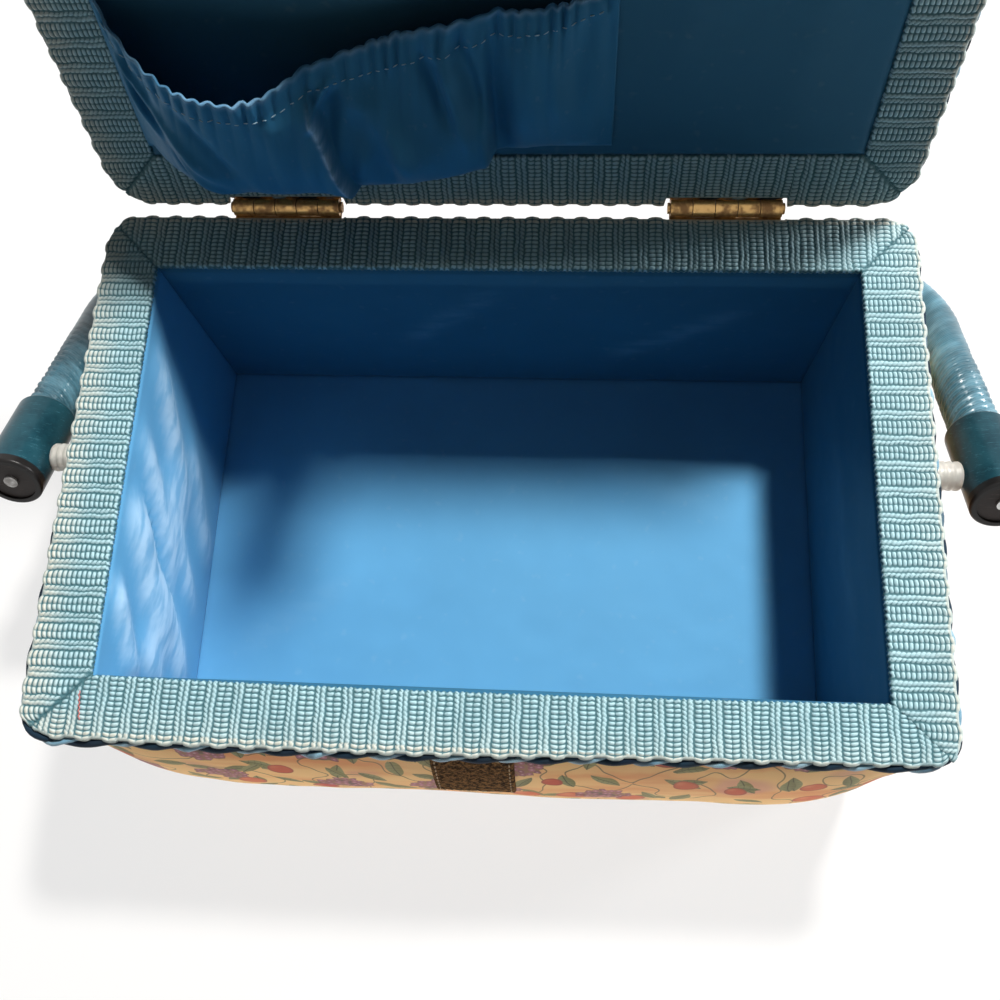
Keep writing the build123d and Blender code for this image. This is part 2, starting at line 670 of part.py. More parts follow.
with BuildPart() as lid_pocket:
    add(pocket_outside)
    add(pocket_inside, mode=Mode.SUBTRACT)
    add(elastic, mode=Mode.SUBTRACT)
keep(lid_pocket.part, "lid_pocket")
keep(elastic, "pocket_elastic")


# --- closure tab on the lid's front edge ---
def wall_front(drop):
    """How far the front wall's cover stands from the hinge pins, at a drop below the rim."""
    return PIN_Y + COVER_Y + FRONT_SWELL * swell_share(RIM_Z - drop)


def strip_outline(points, near, far):
    """Closed outline of a strip that follows the points, from one side distance to the other."""
    vectors = [Vector(*point) for point in points]
    sides = []
    for distance in (near, far):
        side = []
        for index, point in enumerate(vectors):
            before = vectors[max(index - 1, 0)]
            after = vectors[min(index + 1, len(vectors) - 1)]
            normal = (after - before).normalized().rotate(Axis.Z, -90)
            side.append(point + normal * distance)
        sides.append(side)
        Spline(*side)
    Line(sides[0][0], sides[1][0])
    Line(sides[0][-1], sides[1][-1])


lid_front = LID_FROM_PIN + LID_DEPTH
rim_front = PIN_Y + RIM_DEPTH / 2
tab_half = TAB_THICK / 2
closure_stack = PATCH_THICK + TAB_GAP + HOOK_THICK + GLUE_THICK + tab_half
patch_middle = PATCH_DROP + PATCH_HEIGHT / 2
patch_end = PATCH_DROP + PATCH_HEIGHT
tab_end = patch_end + TAB_PAST_PATCH
cord_drop = BRAID_THICK + CORD_RADIUS
tab_points = [
    (-lid_front - TAB_SEAM_GAP - tab_half, LID_FACE + BRAID_THICK / 2),
    (-rim_front - TAB_GAP - TAB_THICK, TAB_GAP),
    (-wall_front(cord_drop) - closure_stack, -cord_drop),
    (-wall_front(PATCH_DROP) - closure_stack, -PATCH_DROP),
    (-wall_front(patch_middle) - closure_stack, -patch_middle),
    (-wall_front(patch_end) - closure_stack, -patch_end),
    (-wall_front(tab_end) - closure_stack, -tab_end),
]

with BuildPart() as closure_tab:
    with BuildSketch(lid_section(PATCH_X - TAB_WIDTH / 2)):
        with BuildLine():
            strip_outline(tab_points, -tab_half, tab_half)
        make_face()
        with Locations(tab_points[0]):
            Circle(tab_half)
    extrude(amount=TAB_WIDTH)
keep(closure_tab.part, "closure_tab")

with BuildPart() as hook_patch:
    with BuildSketch(lid_section(PATCH_X - PATCH_WIDTH / 2)):
        with BuildLine():
            strip_outline(tab_points, -tab_half - GLUE_THICK - HOOK_THICK, -tab_half - GLUE_THICK)
        make_face()
        with Locations((tab_points[4][0], -patch_middle)):
            Rectangle(PAD_REACH, PATCH_HEIGHT, mode=Mode.INTERSECT)
    extrude(amount=PATCH_WIDTH)
keep(hook_patch.part, "tab_hook_patch")

# --- handle ---
def bail(outer, inner):
    """Round bar or tube bent into the handle's shape, bored for the pivot screws."""
    with BuildPart() as bar:
        with BuildLine(handle_plane()) as path:
            FilletPolyline(
                (-ARM_X, CORE_START),
                (-ARM_X, REACH),
                (ARM_X, REACH),
                (ARM_X, CORE_START),
                radius=BEND_RADIUS,
            )
        with BuildSketch(Plane(origin=path.wire() @ 0, z_dir=path.wire() % 0)):
            Circle(outer)
            if inner:
                Circle(inner, mode=Mode.SUBTRACT)
        sweep()
        add(pivot_bores, mode=Mode.SUBTRACT)
    return bar.part


def arm_plane(side, along):
    """Plane square to one arm, at a place along it from the pivot, facing along the arm."""
    origin = handle_plane().from_local_coords((side * ARM_X, along, 0))
    return Plane(origin=origin, x_dir=(1, 0, 0), z_dir=ARM_DIRECTION)


def cap_screws(clearance=0.0):
    """Round-headed screws that hold the end caps, or the room that their shanks need."""
    with BuildPart() as screws:
        for side in (-1, 1):
            face = arm_plane(side, -FERRULE_TAIL + CAP_RECESS)
            with BuildSketch(face):
                Circle(CAP_SCREW_SHANK + clearance)
            extrude(amount=CAP_SCREW_LENGTH)
            if not clearance:
                with BuildSketch(face):
                    Circle(CAP_SCREW_RADIUS)
                extrude(amount=-CAP_RECESS)
    return screws.part


cap_screw_rooms = cap_screws(SCREW_FIT)
core_bar = bail(CORE_RADIUS, 0)

with BuildPart() as handle_core:
    add(core_bar)
    add(cap_screw_rooms, mode=Mode.SUBTRACT)
keep(handle_core.part, "handle_core")
keep(bail(WRAP_RADIUS, CORE_RADIUS), "handle_wrap")

for name, side in (("left_ferrule", -1), ("right_ferrule", 1)):
    with BuildPart() as ferrule:
        with BuildSketch(arm_plane(side, -FERRULE_TAIL)):
            Circle(FERRULE_RADIUS)
            Circle(WRAP_RADIUS + SLIP, mode=Mode.SUBTRACT)
        extrude(amount=FERRULE_TAIL + FERRULE_NOSE)
        rims = ferrule.edges().filter_by(GeomType.CIRCLE).group_by(SortBy.RADIUS)[-1]
        fillet(rims, radius=FERRULE_FILLET)
        add(pivot_bores, mode=Mode.SUBTRACT)
    keep(ferrule.part, name)

with BuildPart() as end_caps:
    for side in (-1, 1):
        with BuildSketch(arm_plane(side, -FERRULE_TAIL + CAP_RECESS)):
            Circle(WRAP_RADIUS)
        extrude(amount=CAP_THICK)
    add(cap_screw_rooms, mode=Mode.SUBTRACT)
keep(end_caps.part, "end_caps")
keep(cap_screws(), "cap_screws")

# --- what the handle turns on ---
with BuildPart() as handle_spacers:
    for side in (-1, 1):
        with BuildSketch(pivot_plane(side, BOARD_X)):
            Circle(SPACER_RADIUS)
            Circle(PIVOT_SCREW_RADIUS + SLIP, mode=Mode.SUBTRACT)
        extrude(amount=ARM_X - FERRULE_RADIUS - PIVOT_GAP - BOARD_X)
keep(handle_spacers.part, "handle_spacers")

with BuildPart() as handle_inserts:
    for side in (-1, 1):
        with BuildSketch(pivot_plane(side, INSERT_INNER)):
            Circle(INSERT_RADIUS)
            Circle(PIVOT_SCREW_RADIUS + SCREW_FIT, mode=Mode.SUBTRACT)
        extrude(amount=BOARD_X - INSERT_INNER)
keep(handle_inserts.part, "handle_inserts")

pivot_shanks = screw_shanks(PIVOT_SCREW_RADIUS)
with BuildPart() as handle_screws:
    add(pivot_shanks)
    for side in (-1, 1):
        with BuildSketch(pivot_plane(side, HEAD_SEAT)):
            Circle(PIVOT_HEAD_RADIUS)
        extrude(amount=PIVOT_HEAD_HEIGHT)
    heads = handle_screws.faces().filter_by(Axis.X)
    outer_faces = [heads.sort_by(Axis.X)[0], heads.sort_by(Axis.X)[-1]]
    fillet([edge for face in outer_faces for edge in face.edges()], radius=PIVOT_HEAD_HEIGHT / 2)
    for side in (-1, 1):
        with BuildSketch(pivot_plane(side, HEAD_SEAT + PIVOT_HEAD_HEIGHT)):
            Rectangle(HEAD_SLOT_WIDTH, 2 * PIVOT_HEAD_RADIUS)
        extrude(amount=-HEAD_SLOT_DEPTH, mode=Mode.SUBTRACT)
keep(handle_screws.part, "handle_screws")

# --- export ---
os.makedirs("parts", exist_ok=True)
for part in pieces:
    export_step(part, f"parts/{part.label}.step")
print(len(pieces), "pieces written")
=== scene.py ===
import json
import math

import bmesh
import bpy
from mathutils import Matrix, Vector, noise


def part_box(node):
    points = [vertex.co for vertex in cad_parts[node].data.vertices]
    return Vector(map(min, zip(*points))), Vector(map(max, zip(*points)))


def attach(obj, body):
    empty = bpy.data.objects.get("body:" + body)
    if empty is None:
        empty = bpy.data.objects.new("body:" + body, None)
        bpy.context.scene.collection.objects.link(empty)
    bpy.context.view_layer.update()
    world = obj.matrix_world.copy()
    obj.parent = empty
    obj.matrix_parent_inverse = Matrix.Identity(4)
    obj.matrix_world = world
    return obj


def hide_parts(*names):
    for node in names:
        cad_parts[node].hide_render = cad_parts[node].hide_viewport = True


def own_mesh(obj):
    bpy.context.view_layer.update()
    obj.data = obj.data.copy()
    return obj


bl_info = {
    "name": "Padded Sewing Box",
    "version": (1, 0, 0),
    "blender": (4, 5, 0),
    "location": "3D View > Sidebar > Sewing Box",
    "description": "Dresses a padded sewing box with braid, twisted cord, satin and printed cloth",
    "category": "Add Mesh",
}

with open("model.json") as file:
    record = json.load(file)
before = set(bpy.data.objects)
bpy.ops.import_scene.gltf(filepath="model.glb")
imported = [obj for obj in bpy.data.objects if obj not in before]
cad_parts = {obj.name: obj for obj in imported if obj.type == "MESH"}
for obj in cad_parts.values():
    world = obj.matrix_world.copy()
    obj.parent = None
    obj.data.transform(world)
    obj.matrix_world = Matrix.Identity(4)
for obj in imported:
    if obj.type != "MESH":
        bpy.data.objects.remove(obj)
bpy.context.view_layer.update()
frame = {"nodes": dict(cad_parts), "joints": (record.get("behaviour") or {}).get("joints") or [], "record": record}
MM = 0.001
NODES = frame["nodes"]
JOINTS = {joint["name"]: joint for joint in frame["joints"]}

# --- places and sizes taken from the frame, in millimetres ---
RIM_LOW, RIM_HIGH = (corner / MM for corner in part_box("rim_braid"))
FLOOR_LOW, FLOOR_HIGH = (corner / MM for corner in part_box("floor_lining"))
COVER_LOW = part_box("body_cover")[0] / MM
LINING_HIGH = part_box("lid_lining")[1] / MM
PIN = Vector(JOINTS["lid_hinge"]["pos_m"]) / MM
PIVOT = Vector(JOINTS["handle_swing"]["pos_m"]) / MM
OPEN = math.radians(JOINTS["lid_hinge"]["range_deg"][1])
REST = math.radians(JOINTS["handle_swing"]["range_deg"][1] - 90)
WALL_TOP = RIM_LOW.z
RIM_BRAID = 19.0             # width of the rim's braid
RIM_CORNER = 10.0
COVER_INSET = 2.5            # from the braid's outer edge in to the cover's, on the rim and on the lid
COVER_CORNER = 10.0
COVER_HALF = (RIM_HIGH.x - COVER_INSET, RIM_HIGH.y - COVER_INSET)
LID_FROM_PIN = 1.5
LID_BRAID = 19.5             # width of the lid's braid
LID_CORNER = 14.0
LID_SIZE = (2 * (LINING_HIGH.x + LID_BRAID), 180.0)
LID_SEAT = 2.25              # the lid board's bare face, over the pins when the lid is shut
LID_BOARD = 4.5
LID_COVER_CORNER = 11.5
HINGE_X = 76.5               # from the middle of the box to the middle of a hinge
LID_OUT = Vector((0, math.sin(OPEN), math.cos(OPEN)))
LID_UP = Vector((0, -math.cos(OPEN), math.sin(OPEN)))      # from the hinges to the lid's front


def lid_matrix(height, off):
    """Places a flat layout on the lid: x across, y to its front edge, z along off."""
    middle = PIN + LID_UP * (LID_FROM_PIN + LID_SIZE[1] / 2) + LID_OUT * height
    rows = ((1, 0, 0), (0, LID_UP.y, off.y), (0, LID_UP.z, off.z))
    return Matrix.Translation(middle) @ Matrix(rows).to_4x4()


RIM_PLACE = Matrix.Translation((0, 0, WALL_TOP))
LID_PLACE = lid_matrix(LID_SEAT, -LID_OUT)    # on the lid's inside, z off its face
LID_FLAT = lid_matrix(0.0, LID_OUT)           # z over the pins when the lid is shut


FINISHES = {}                # each finish's material, filled by the finishes operator


# --- making and finishing meshes ---
def smooth(value, low, high):
    """Eased step from 0 at low to 1 at high."""
    share = min(max((value - low) / (high - low), 0.0), 1.0)
    return share * share * (3 - 2 * share)


def wave(value):
    """Row of round-backed yarns: 0 in the grooves and 1 on the backs."""
    return abs(math.sin(math.pi * value)) ** 0.55


def add_piece(bm, name, finish, body, replaced=()):
    """Turn a bmesh in millimetres into a piece with a finish that rides on a body."""
    bmesh.ops.scale(bm, vec=(MM, MM, MM), verts=bm.verts)
    mesh = bpy.data.meshes.new(name)
    bm.to_mesh(mesh)
    bm.free()
    mesh.shade_smooth()
    mesh.materials.append(FINISHES[finish])
    piece = bpy.data.objects.new(name, mesh)
    bpy.context.scene.collection.objects.link(piece)
    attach(piece, body)
    if replaced:
        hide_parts(*replaced)
    return piece


def cloth_grid(columns, rows, place, lay=None, uv=None):
    """Grid of quads set in place by place(u, v), u and v from 0 to 1, with a UV map."""
    bm = bmesh.new()
    layer = bm.loops.layers.uv.new("cloth")
    depth = bm.verts.layers.float.new("lay") if lay else None
    bmesh.ops.create_grid(bm, x_segments=columns, y_segments=rows, size=0.5)
    bm.verts.index_update()
    shares = [(vert.co.x + 0.5, vert.co.y + 0.5) for vert in bm.verts]
    flat = [uv(u, v) if uv else (u, v) for u, v in shares]
    for face in bm.faces:
        for loop in face.loops:
            loop[layer].uv = flat[loop.vert.index]
    for vert, (u, v) in zip(bm.verts, shares):
        if lay:
            vert[depth] = lay(u, v)
        vert.co = place(u, v)
    return bm


def weld(bm, distance=0.001):
    """Join the edges that meet, and turn every face outwards."""
    bmesh.ops.remove_doubles(bm, verts=bm.verts, dist=distance)
    bmesh.ops.recalc_face_normals(bm, faces=bm.faces)


def close_below(bm, depth, direction):
    """Give an open cloth grid sides and an underside."""
    edges = [edge for edge in bm.edges if edge.is_boundary]
    made = bmesh.ops.extrude_edge_only(bm, edges=edges)["geom"]
    low = [item for item in made if isinstance(item, bmesh.types.BMVert)]
    for vert in low:
        vert.co += direction * (depth - (vert.co.dot(direction)))
    rims = [edge for edge in bm.edges if edge.is_boundary]
    bmesh.ops.edgeloop_fill(bm, edges=rims)
    bmesh.ops.recalc_face_normals(bm, faces=bm.faces)


# --- node trees ---
def put(tree, kind, inputs=None, **settings):
    """Add a shader node; an input given as a socket is linked, anything else is its value."""
    made = tree.nodes.new("ShaderNode" + kind)
    for name, value in settings.items():
        setattr(made, name, value)
    for key, value in (inputs or {}).items():
        if isinstance(value, bpy.types.NodeSocket):
            tree.links.new(value, made.inputs[key])
        else:
            made.inputs[key].default_value = value
    return made


def math_node(tree, operation, first, second=0.0, third=0.0):
    """One Math node's result."""
    return put(tree, "Math", {0: first, 1: second, 2: third}, operation=operation).outputs[0]


def times(tree, first, second):
    """Product of two values."""
    return math_node(tree, "MULTIPLY", first, second)


def noise_value(tree, place, scale, detail, **more):
    """Noise texture's value at a place."""
    return put(tree, "TexNoise", {"Vector": place, "Scale": scale, "Detail": detail, **more}).outputs[0]


def fibre_value(tree, place, scale, distortion, detail):
    """Wave texture's value at a place: fine fibres or grain side by side."""
    inputs = {"Vector": place, "Scale": scale, "Distortion": distortion, "Detail": detail}
    return put(tree, "TexWave", inputs).outputs[1]


def mapped(tree, place, **more):
    """Place moved, turned or stretched by a Mapping node."""
    return put(tree, "Mapping", {"Vector": place, **more}).outputs[0]


def eased(tree, value, low, high, start=0.0, end=1.0):
    """Smooth step of a value from low to high."""
    inputs = {"Value": value, "From Min": low, "From Max": high, "To Min": start, "To Max": end}
    return put(tree, "MapRange", inputs, interpolation_type="SMOOTHSTEP").outputs[0]


def mixed(tree, factor, first, second, blend="MIX"):
    """Two colours mixed by a factor."""
    made = put(tree, "Mix", data_type="RGBA", blend_type=blend)
    for key, value in ((0, factor), (6, first), (7, second)):
        if isinstance(value, bpy.types.NodeSocket):
            tree.links.new(value, made.inputs[key])
        elif key:
            made.inputs[key].default_value = (*value[:3], 1)
        else:
            made.inputs[key].default_value = value
    return made.outputs[2]


def group(name, inputs, outputs):
    """Empty node group with named sockets, and its input and output nodes."""
    tree = bpy.data.node_groups.new(name, "ShaderNodeTree")
    for label, kind, value in inputs:
        socket = tree.interface.new_socket(label, in_out="INPUT", socket_type="NodeSocket" + kind)
        if value is not None:
            socket.default_value = value
    for label, kind in outputs:
        tree.interface.new_socket(label, in_out="OUTPUT", socket_type="NodeSocket" + kind)
    return tree, tree.nodes.new("NodeGroupInput"), tree.nodes.new("NodeGroupOutput")


def weave_group():
    """Crossed threads: a height and a shade that follow warp and weft."""
    tree, given, result = group(
        "Woven Threads",
        [("Vector", "Vector", None), ("Threads per Metre", "Float", 3000.0), ("Slub", "Float", 0.3)],
        [("Height", "Float"), ("Shade", "Float")],
    )
    scaled = put(
        tree,
        "VectorMath",
        {0: given.outputs["Vector"], "Scale": given.outputs["Threads per Metre"]},
        operation="SCALE",
    ).outputs[0]
    parts = put(tree, "SeparateXYZ", {0: scaled})
    warp = math_node(tree, "SINE", times(tree, parts.outputs[0], math.pi))
    weft = math_node(tree, "SINE", times(tree, parts.outputs[1], math.pi))
    both = times(tree, warp, weft)
    slub = noise_value(tree, scaled, 0.04, 3.0)
    uneven = times(tree, slub, given.outputs["Slub"])
    height = math_node(tree, "MULTIPLY_ADD", both, 0.5, uneven)
    tree.links.new(height, result.inputs["Height"])
    shade = eased(tree, both, -1.0, 1.0, 0.0, 1.0)
    tree.links.new(shade, result.inputs["Shade"])
    return tree


def mottle_group():
    """Soft patches of wear and soil, from 0 to 1."""
    tree, given, result = group(
        "Soft Wear",
        [("Vector", "Vector", None), ("Patches per Metre", "Float", 30.0), ("Sharpness", "Float", 0.5)],
        [("Patches", "Float"), ("Specks", "Float")],
    )
    place, scale = given.outputs["Vector"], given.outputs["Patches per Metre"]
    broad = noise_value(tree, place, scale, 4.0, Roughness=0.6)
    low = times(tree, given.outputs["Sharpness"], 0.5)
    high = math_node(tree, "SUBTRACT", 1.0, low)
    tree.links.new(eased(tree, broad, low, high), result.inputs["Patches"])
    fine = noise_value(tree, place, times(tree, scale, 14.0), 2.0)
    tree.links.new(eased(tree, fine, 0.62, 0.75), result.inputs["Specks"])
    return tree


def fruit_print_group():
    """Loose all-over print of round fruit, berry bunches, leaves and tendrils, about life-like size."""
    tree, given, result = group(
        "Fruit and Leaf Print",
        [("Vector", "Vector", None), ("Ground", "Color", (0.76, 0.56, 0.32, 1))],
        [("Color", "Color")],
    )
    flat = given.outputs["Vector"]
    wander = put(tree, "TexNoise", {"Vector": flat, "Scale": 60.0, "Detail": 1.0}).outputs[1]
    nudge = put(tree, "VectorMath", {0: wander, "Scale": 0.004}, operation="SCALE").outputs[0]
    place = put(tree, "VectorMath", {0: flat, 1: nudge}, operation="ADD").outputs[0]

    # ground with soft peach washes
    wash = noise_value(tree, mapped(tree, flat, Scale=(0.4, 2.0, 1.0)), 24.0, 3.0)
    colour = mixed(tree, eased(tree, wash, 0.46, 0.66), given.outputs["Ground"], (0.74, 0.30, 0.11))
    rose = noise_value(tree, flat, 31.0, 1.0)
    colour = mixed(tree, eased(tree, rose, 0.6, 0.72, 0.0, 0.6), colour, (0.63, 0.26, 0.22))

    # tendrils along the contours of a slow noise
    curls = []
    for step in ((0, 0, 0), (0.0006, 0, 0), (0, 0.0006, 0)):
        beside = put(tree, "VectorMath", {0: flat, 1: step}, operation="ADD").outputs[0]
        curls.append(noise_value(tree, beside, 42.0, 0.6))
    slopes = [math_node(tree, "ABSOLUTE", math_node(tree, "SUBTRACT", curl, curls[0])) for curl in curls[1:]]
    steep = math_node(tree, "MAXIMUM", math_node(tree, "ADD", *slopes), 0.0006)
    line = math_node(tree, "ABSOLUTE", math_node(tree, "SUBTRACT", curls[0], 0.5))
    line = math_node(tree, "DIVIDE", line, steep)
    colour = mixed(tree, eased(tree, line, 0.30, 0.60, 0.85, 0.0), colour, (0.11, 0.09, 0.04))

    def cells(scale, spread, shift):
        moved = mapped(tree, place, Location=(shift, -shift, 0))
        made = put(
            tree,
            "TexVoronoi",
            {"Vector": moved, "Scale": scale, "Randomness": spread},
            voronoi_dimensions="2D",
        )
        local = put(
            tree, "VectorMath", {0: moved, 1: made.outputs["Position"]}, operation="SUBTRACT"
        ).outputs[0]
        shades = put(tree, "SeparateColor", {0: made.outputs["Color"]})
        return moved, made, local, shades.outputs

    # leaves: a lens shape turned its own way in each cell
    for scale, shift, half_length, half_width in ((46.0, 0.013, 0.0088, 0.0034), (52.0, 0.31, 0.0075, 0.003)):
        _, _, local, shades = cells(scale, 0.75, shift)
        turned = put(
            tree,
            "VectorRotate",
            {"Vector": local, "Angle": times(tree, shades[0], 12.0)},
            rotation_type="Z_AXIS",
        ).outputs[0]
        parts = put(tree, "SeparateXYZ", {0: turned}).outputs
        along = math_node(tree, "POWER", math_node(tree, "DIVIDE", parts[0], half_length), 2.0)
        across = math_node(tree, "ABSOLUTE", math_node(tree, "DIVIDE", parts[1], half_width))
        lens = math_node(tree, "ADD", along, across)
        inside = eased(tree, lens, 0.92, 1.02, 1.0, 0.0)
        chosen = math_node(tree, "GREATER_THAN", shades[1], 0.25)
        inside = times(tree, inside, chosen)
        green = mixed(tree, shades[2], (0.09, 0.10, 0.03), (0.20, 0.18, 0.05))
        green = mixed(tree, eased(tree, parts[1], -0.004, 0.004), green, (0.26, 0.27, 0.12))
        vein = eased(tree, across, 0.03, 0.12, 1.0, 0.0)
        slant = math_node(tree, "ADD", times(tree, parts[0], 2400.0), times(tree, across, 2.5))
        side = eased(tree, math_node(tree, "SINE", slant), 0.8, 0.98)
        veins = math_node(tree, "MAXIMUM", vein, times(tree, side, 0.5))
        green = mixed(tree, veins, green, (0.03, 0.045, 0.015))
        colour = mixed(tree, inside, colour, green)

    # round fruit
    _, _, local, shades = cells(42.0, 0.75, 0.07)
    radius = put(tree, "VectorMath", {0: local}, operation="LENGTH").outputs["Value"]
    size = math_node(tree, "MULTIPLY_ADD", shades[2], 0.0020, 0.0052)
    reach = math_node(tree, "DIVIDE", radius, size)
    inside = eased(tree, reach, 0.93, 1.0, 1.0, 0.0)
    inside = times(tree, inside, math_node(tree, "GREATER_THAN", shades[1], 0.44))
    glow = put(tree, "VectorMath", {0: local, 1: (-0.0026, 0.0028, 0)}, operation="DISTANCE").outputs["Value"]
    red = mixed(tree, shades[0], (0.44, 0.035, 0.025), (0.62, 0.12, 0.04))
    red = mixed(tree, eased(tree, glow, 0.0, 0.0045, 0.45, 0.0), red, (0.86, 0.38, 0.18))
    red = mixed(tree, eased(tree, reach, 0.7, 1.0, 0.0, 0.7), red, (0.24, 0.03, 0.03))
    colour = mixed(tree, inside, colour, red)

    # berry bunches: small round cells that belong to a bunch's own oval
    bunch = put(
        tree,
        "TexVoronoi",
        {"Vector": place, "Scale": 25.0, "Randomness": 0.7},
        voronoi_dimensions="2D",
    )
    berries = put(
        tree,
        "TexVoronoi",
        {"Vector": place, "Scale": 300.0, "Randomness": 0.55},
        voronoi_dimensions="2D",
    )
    reach = put(
        tree,
        "VectorMath",
        {0: berries.outputs["Position"], 1: bunch.outputs["Position"]},
        operation="SUBTRACT",
    ).outputs[0]
    oval = put(tree, "VectorMath", {0: reach, 1: (88.0, 120.0, 0)}, operation="MULTIPLY").outputs[0]
    oval = put(tree, "VectorMath", {0: oval}, operation="LENGTH").outputs["Value"]
    kind = put(tree, "SeparateColor", {0: bunch.outputs["Color"]}).outputs
    inside = math_node(tree, "LESS_THAN", oval, 1.0)
    inside = times(tree, inside, math_node(tree, "GREATER_THAN", kind[0], 0.35))
    berry = berries.outputs["Distance"]
    rounded = eased(tree, berry, 0.40, 0.52, 1.0, 0.0)
    shade = put(tree, "SeparateColor", {0: berries.outputs["Color"]}).outputs[1]
    purple = mixed(tree, shade, (0.20, 0.045, 0.085), (0.38, 0.12, 0.18))
    purple = mixed(tree, eased(tree, berry, 0.0, 0.3, 0.7, 0.0), purple, (0.64, 0.38, 0.44))
    colour = mixed(tree, times(tree, inside, 0.75), colour, (0.09, 0.02, 0.04))
    colour = mixed(tree, times(tree, inside, rounded), colour, purple)
    tree.links.new(colour, result.inputs["Color"])
    return tree


GROUPS = {}


def shared(name):
    """A shared node group, made when first asked for."""
    makers = {"weave": weave_group, "wear": mottle_group, "print": fruit_print_group}
    if name not in GROUPS:
        GROUPS[name] = makers[name]()
    return GROUPS[name]


def use(tree, name, **inputs):
    """Place a shared group in a material."""
    made = tree.nodes.new("ShaderNodeGroup")
    made.node_tree = shared(name)
    for key, value in inputs.items():
        socket = made.inputs[key.replace("_", " ")]
        if isinstance(value, bpy.types.NodeSocket):
            tree.links.new(value, socket)
        else:
            socket.default_value = value
    return made.outputs


def material(name, **shader):
    """New material with the Principled shader's plain values set; returns it, its tree and shader."""
    made = bpy.data.materials.new(name)
    made.use_nodes = True
    tree = made.node_tree
    surface = tree.nodes["Principled BSDF"]
    for key, value in shader.items():
        surface.inputs[key.replace("_", " ")].default_value = value
    return made, tree, surface


def bump(tree, surface, height, distance, strength=1.0, before=None):
    """Bump node into the shader's Normal; distance in metres."""
    inputs = {"Height": height, "Distance": distance, "Strength": strength}
    if before is not None:
        inputs["Normal"] = before
    made = put(tree, "Bump", inputs)
    tree.links.new(made.outputs[0], surface.inputs["Normal"])
    return made.outputs[0]


def object_coordinates(tree):
    """Place on the object, in metres."""
    return put(tree, "TexCoord").outputs["Object"]


def own_map(tree):
    """Place on the piece's own flat cloth, in metres."""
    return put(tree, "UVMap", uv_map="cloth").outputs[0]


def braid_material(trim):
    """Gimp braid: yarn in the lobes, painted shade in the grooves, and a soiled outer edge."""
    made, tree, surface = material(
        "gimp_braid", Roughness=0.52, Sheen_Weight=0.25, Sheen_Roughness=0.4, Specular_IOR_Level=0.35
    )
    surface.inputs["Sheen Tint"].default_value = (0.75, 0.95, 1.0, 1)
    lay = put(tree, "Attribute", attribute_name="lay").outputs["Fac"]
    cloth = own_map(tree)
    wear = use(tree, "wear", Vector=cloth, Patches_per_Metre=45.0, Sharpness=0.6)
    top = mixed(tree, wear["Patches"], tuple(c * 0.85 for c in trim.braid_colour), trim.braid_colour)
    # painted shade: the grooves darken with the relief
    colour = mixed(tree, eased(tree, lay, 0.22, 0.78), trim.groove_shade_colour, top)
    colour = mixed(tree, times(tree, wear["Specks"], 0.12), colour, (0.75, 0.80, 0.78))
    edge = put(tree, "SeparateXYZ", {0: cloth}).outputs[1]
    faded = math_node(tree, "MULTIPLY_ADD", wear["Patches"], 0.004, edge)
    left = put(tree, "SeparateXYZ", {0: object_coordinates(tree)}).outputs[0]
    handled = eased(tree, left, -0.126, -0.112, 0.65, 0.22)
    soil = times(tree, eased(tree, faded, 0.010, 0.020), handled)
    rubbed_edge = times(tree, eased(tree, edge, 0.0174, 0.0180), 0.85)
    soil = math_node(tree, "MAXIMUM", soil, rubbed_edge)
    soil = times(tree, soil, eased(tree, lay, 0.1, 0.8))
    colour = mixed(tree, soil, colour, trim.selvage_colour)
    tree.links.new(colour, surface.inputs["Base Color"])
    fibre = fibre_value(tree, mapped(tree, cloth, Rotation=(0, 0, 0.35)), 900.0, 1.5, 1.0)
    bump(tree, surface, fibre, 0.00008, 0.6)
    return made


def satin_material(name, shade):
    """Satin, paler on the crests of its folds: painted sheen there, partly wear from rubbing."""
    made, tree, surface = material(
        name,
        Sheen_Weight=0.12,
        Sheen_Roughness=0.35,
        Anisotropic=0.3,
        Specular_IOR_Level=0.16,
    )
    surface.inputs["Sheen Tint"].default_value = (0.5, 0.8, 1.0, 1)
    surface.inputs["Specular Tint"].default_value = (0.35, 0.7, 1.0, 1)
    cloth = own_map(tree)
    wear = use(tree, "wear", Vector=cloth, Patches_per_Metre=14.0, Sharpness=0.5)
    weave = use(tree, "weave", Vector=cloth, Threads_per_Metre=3200.0, Slub=0.5)
    colour = mixed(tree, wear["Patches"], tuple(c * 0.9 for c in shade), shade)
    colour = mixed(tree, times(tree, weave["Shade"], 0.18), colour, (0.02, 0.10, 0.24))
    # paler crests: painted sheen, partly wear from rubbing; the mask rides on the lay attribute
    crest_sheen_and_wear = put(tree, "Attribute", attribute_name="lay").outputs["Fac"]
    slanted = mapped(tree, cloth, Rotation=(0, 0, 0.75), Scale=(1.0, 3.2, 1.0))
    creased = noise_value(tree, slanted, 55.0, 3.0)
    crest_sheen_and_wear = times(tree, crest_sheen_and_wear, eased(tree, creased, 0.36, 0.6, 0.25, 1.0))
    colour = mixed(tree, crest_sheen_and_wear, colour, (0.40, 0.62, 0.84))
    colour = mixed(tree, times(tree, wear["Specks"], 0.05), colour, (0.5, 0.6, 0.7))
    tree.links.new(colour, surface.inputs["Base Color"])
    rough = eased(tree, wear["Patches"], 0.0, 1.0, 0.44, 0.58)
    tree.links.new(rough, surface.inputs["Roughness"])
    bump(tree, surface, weave["Height"], 0.00005, 0.5)
    return made


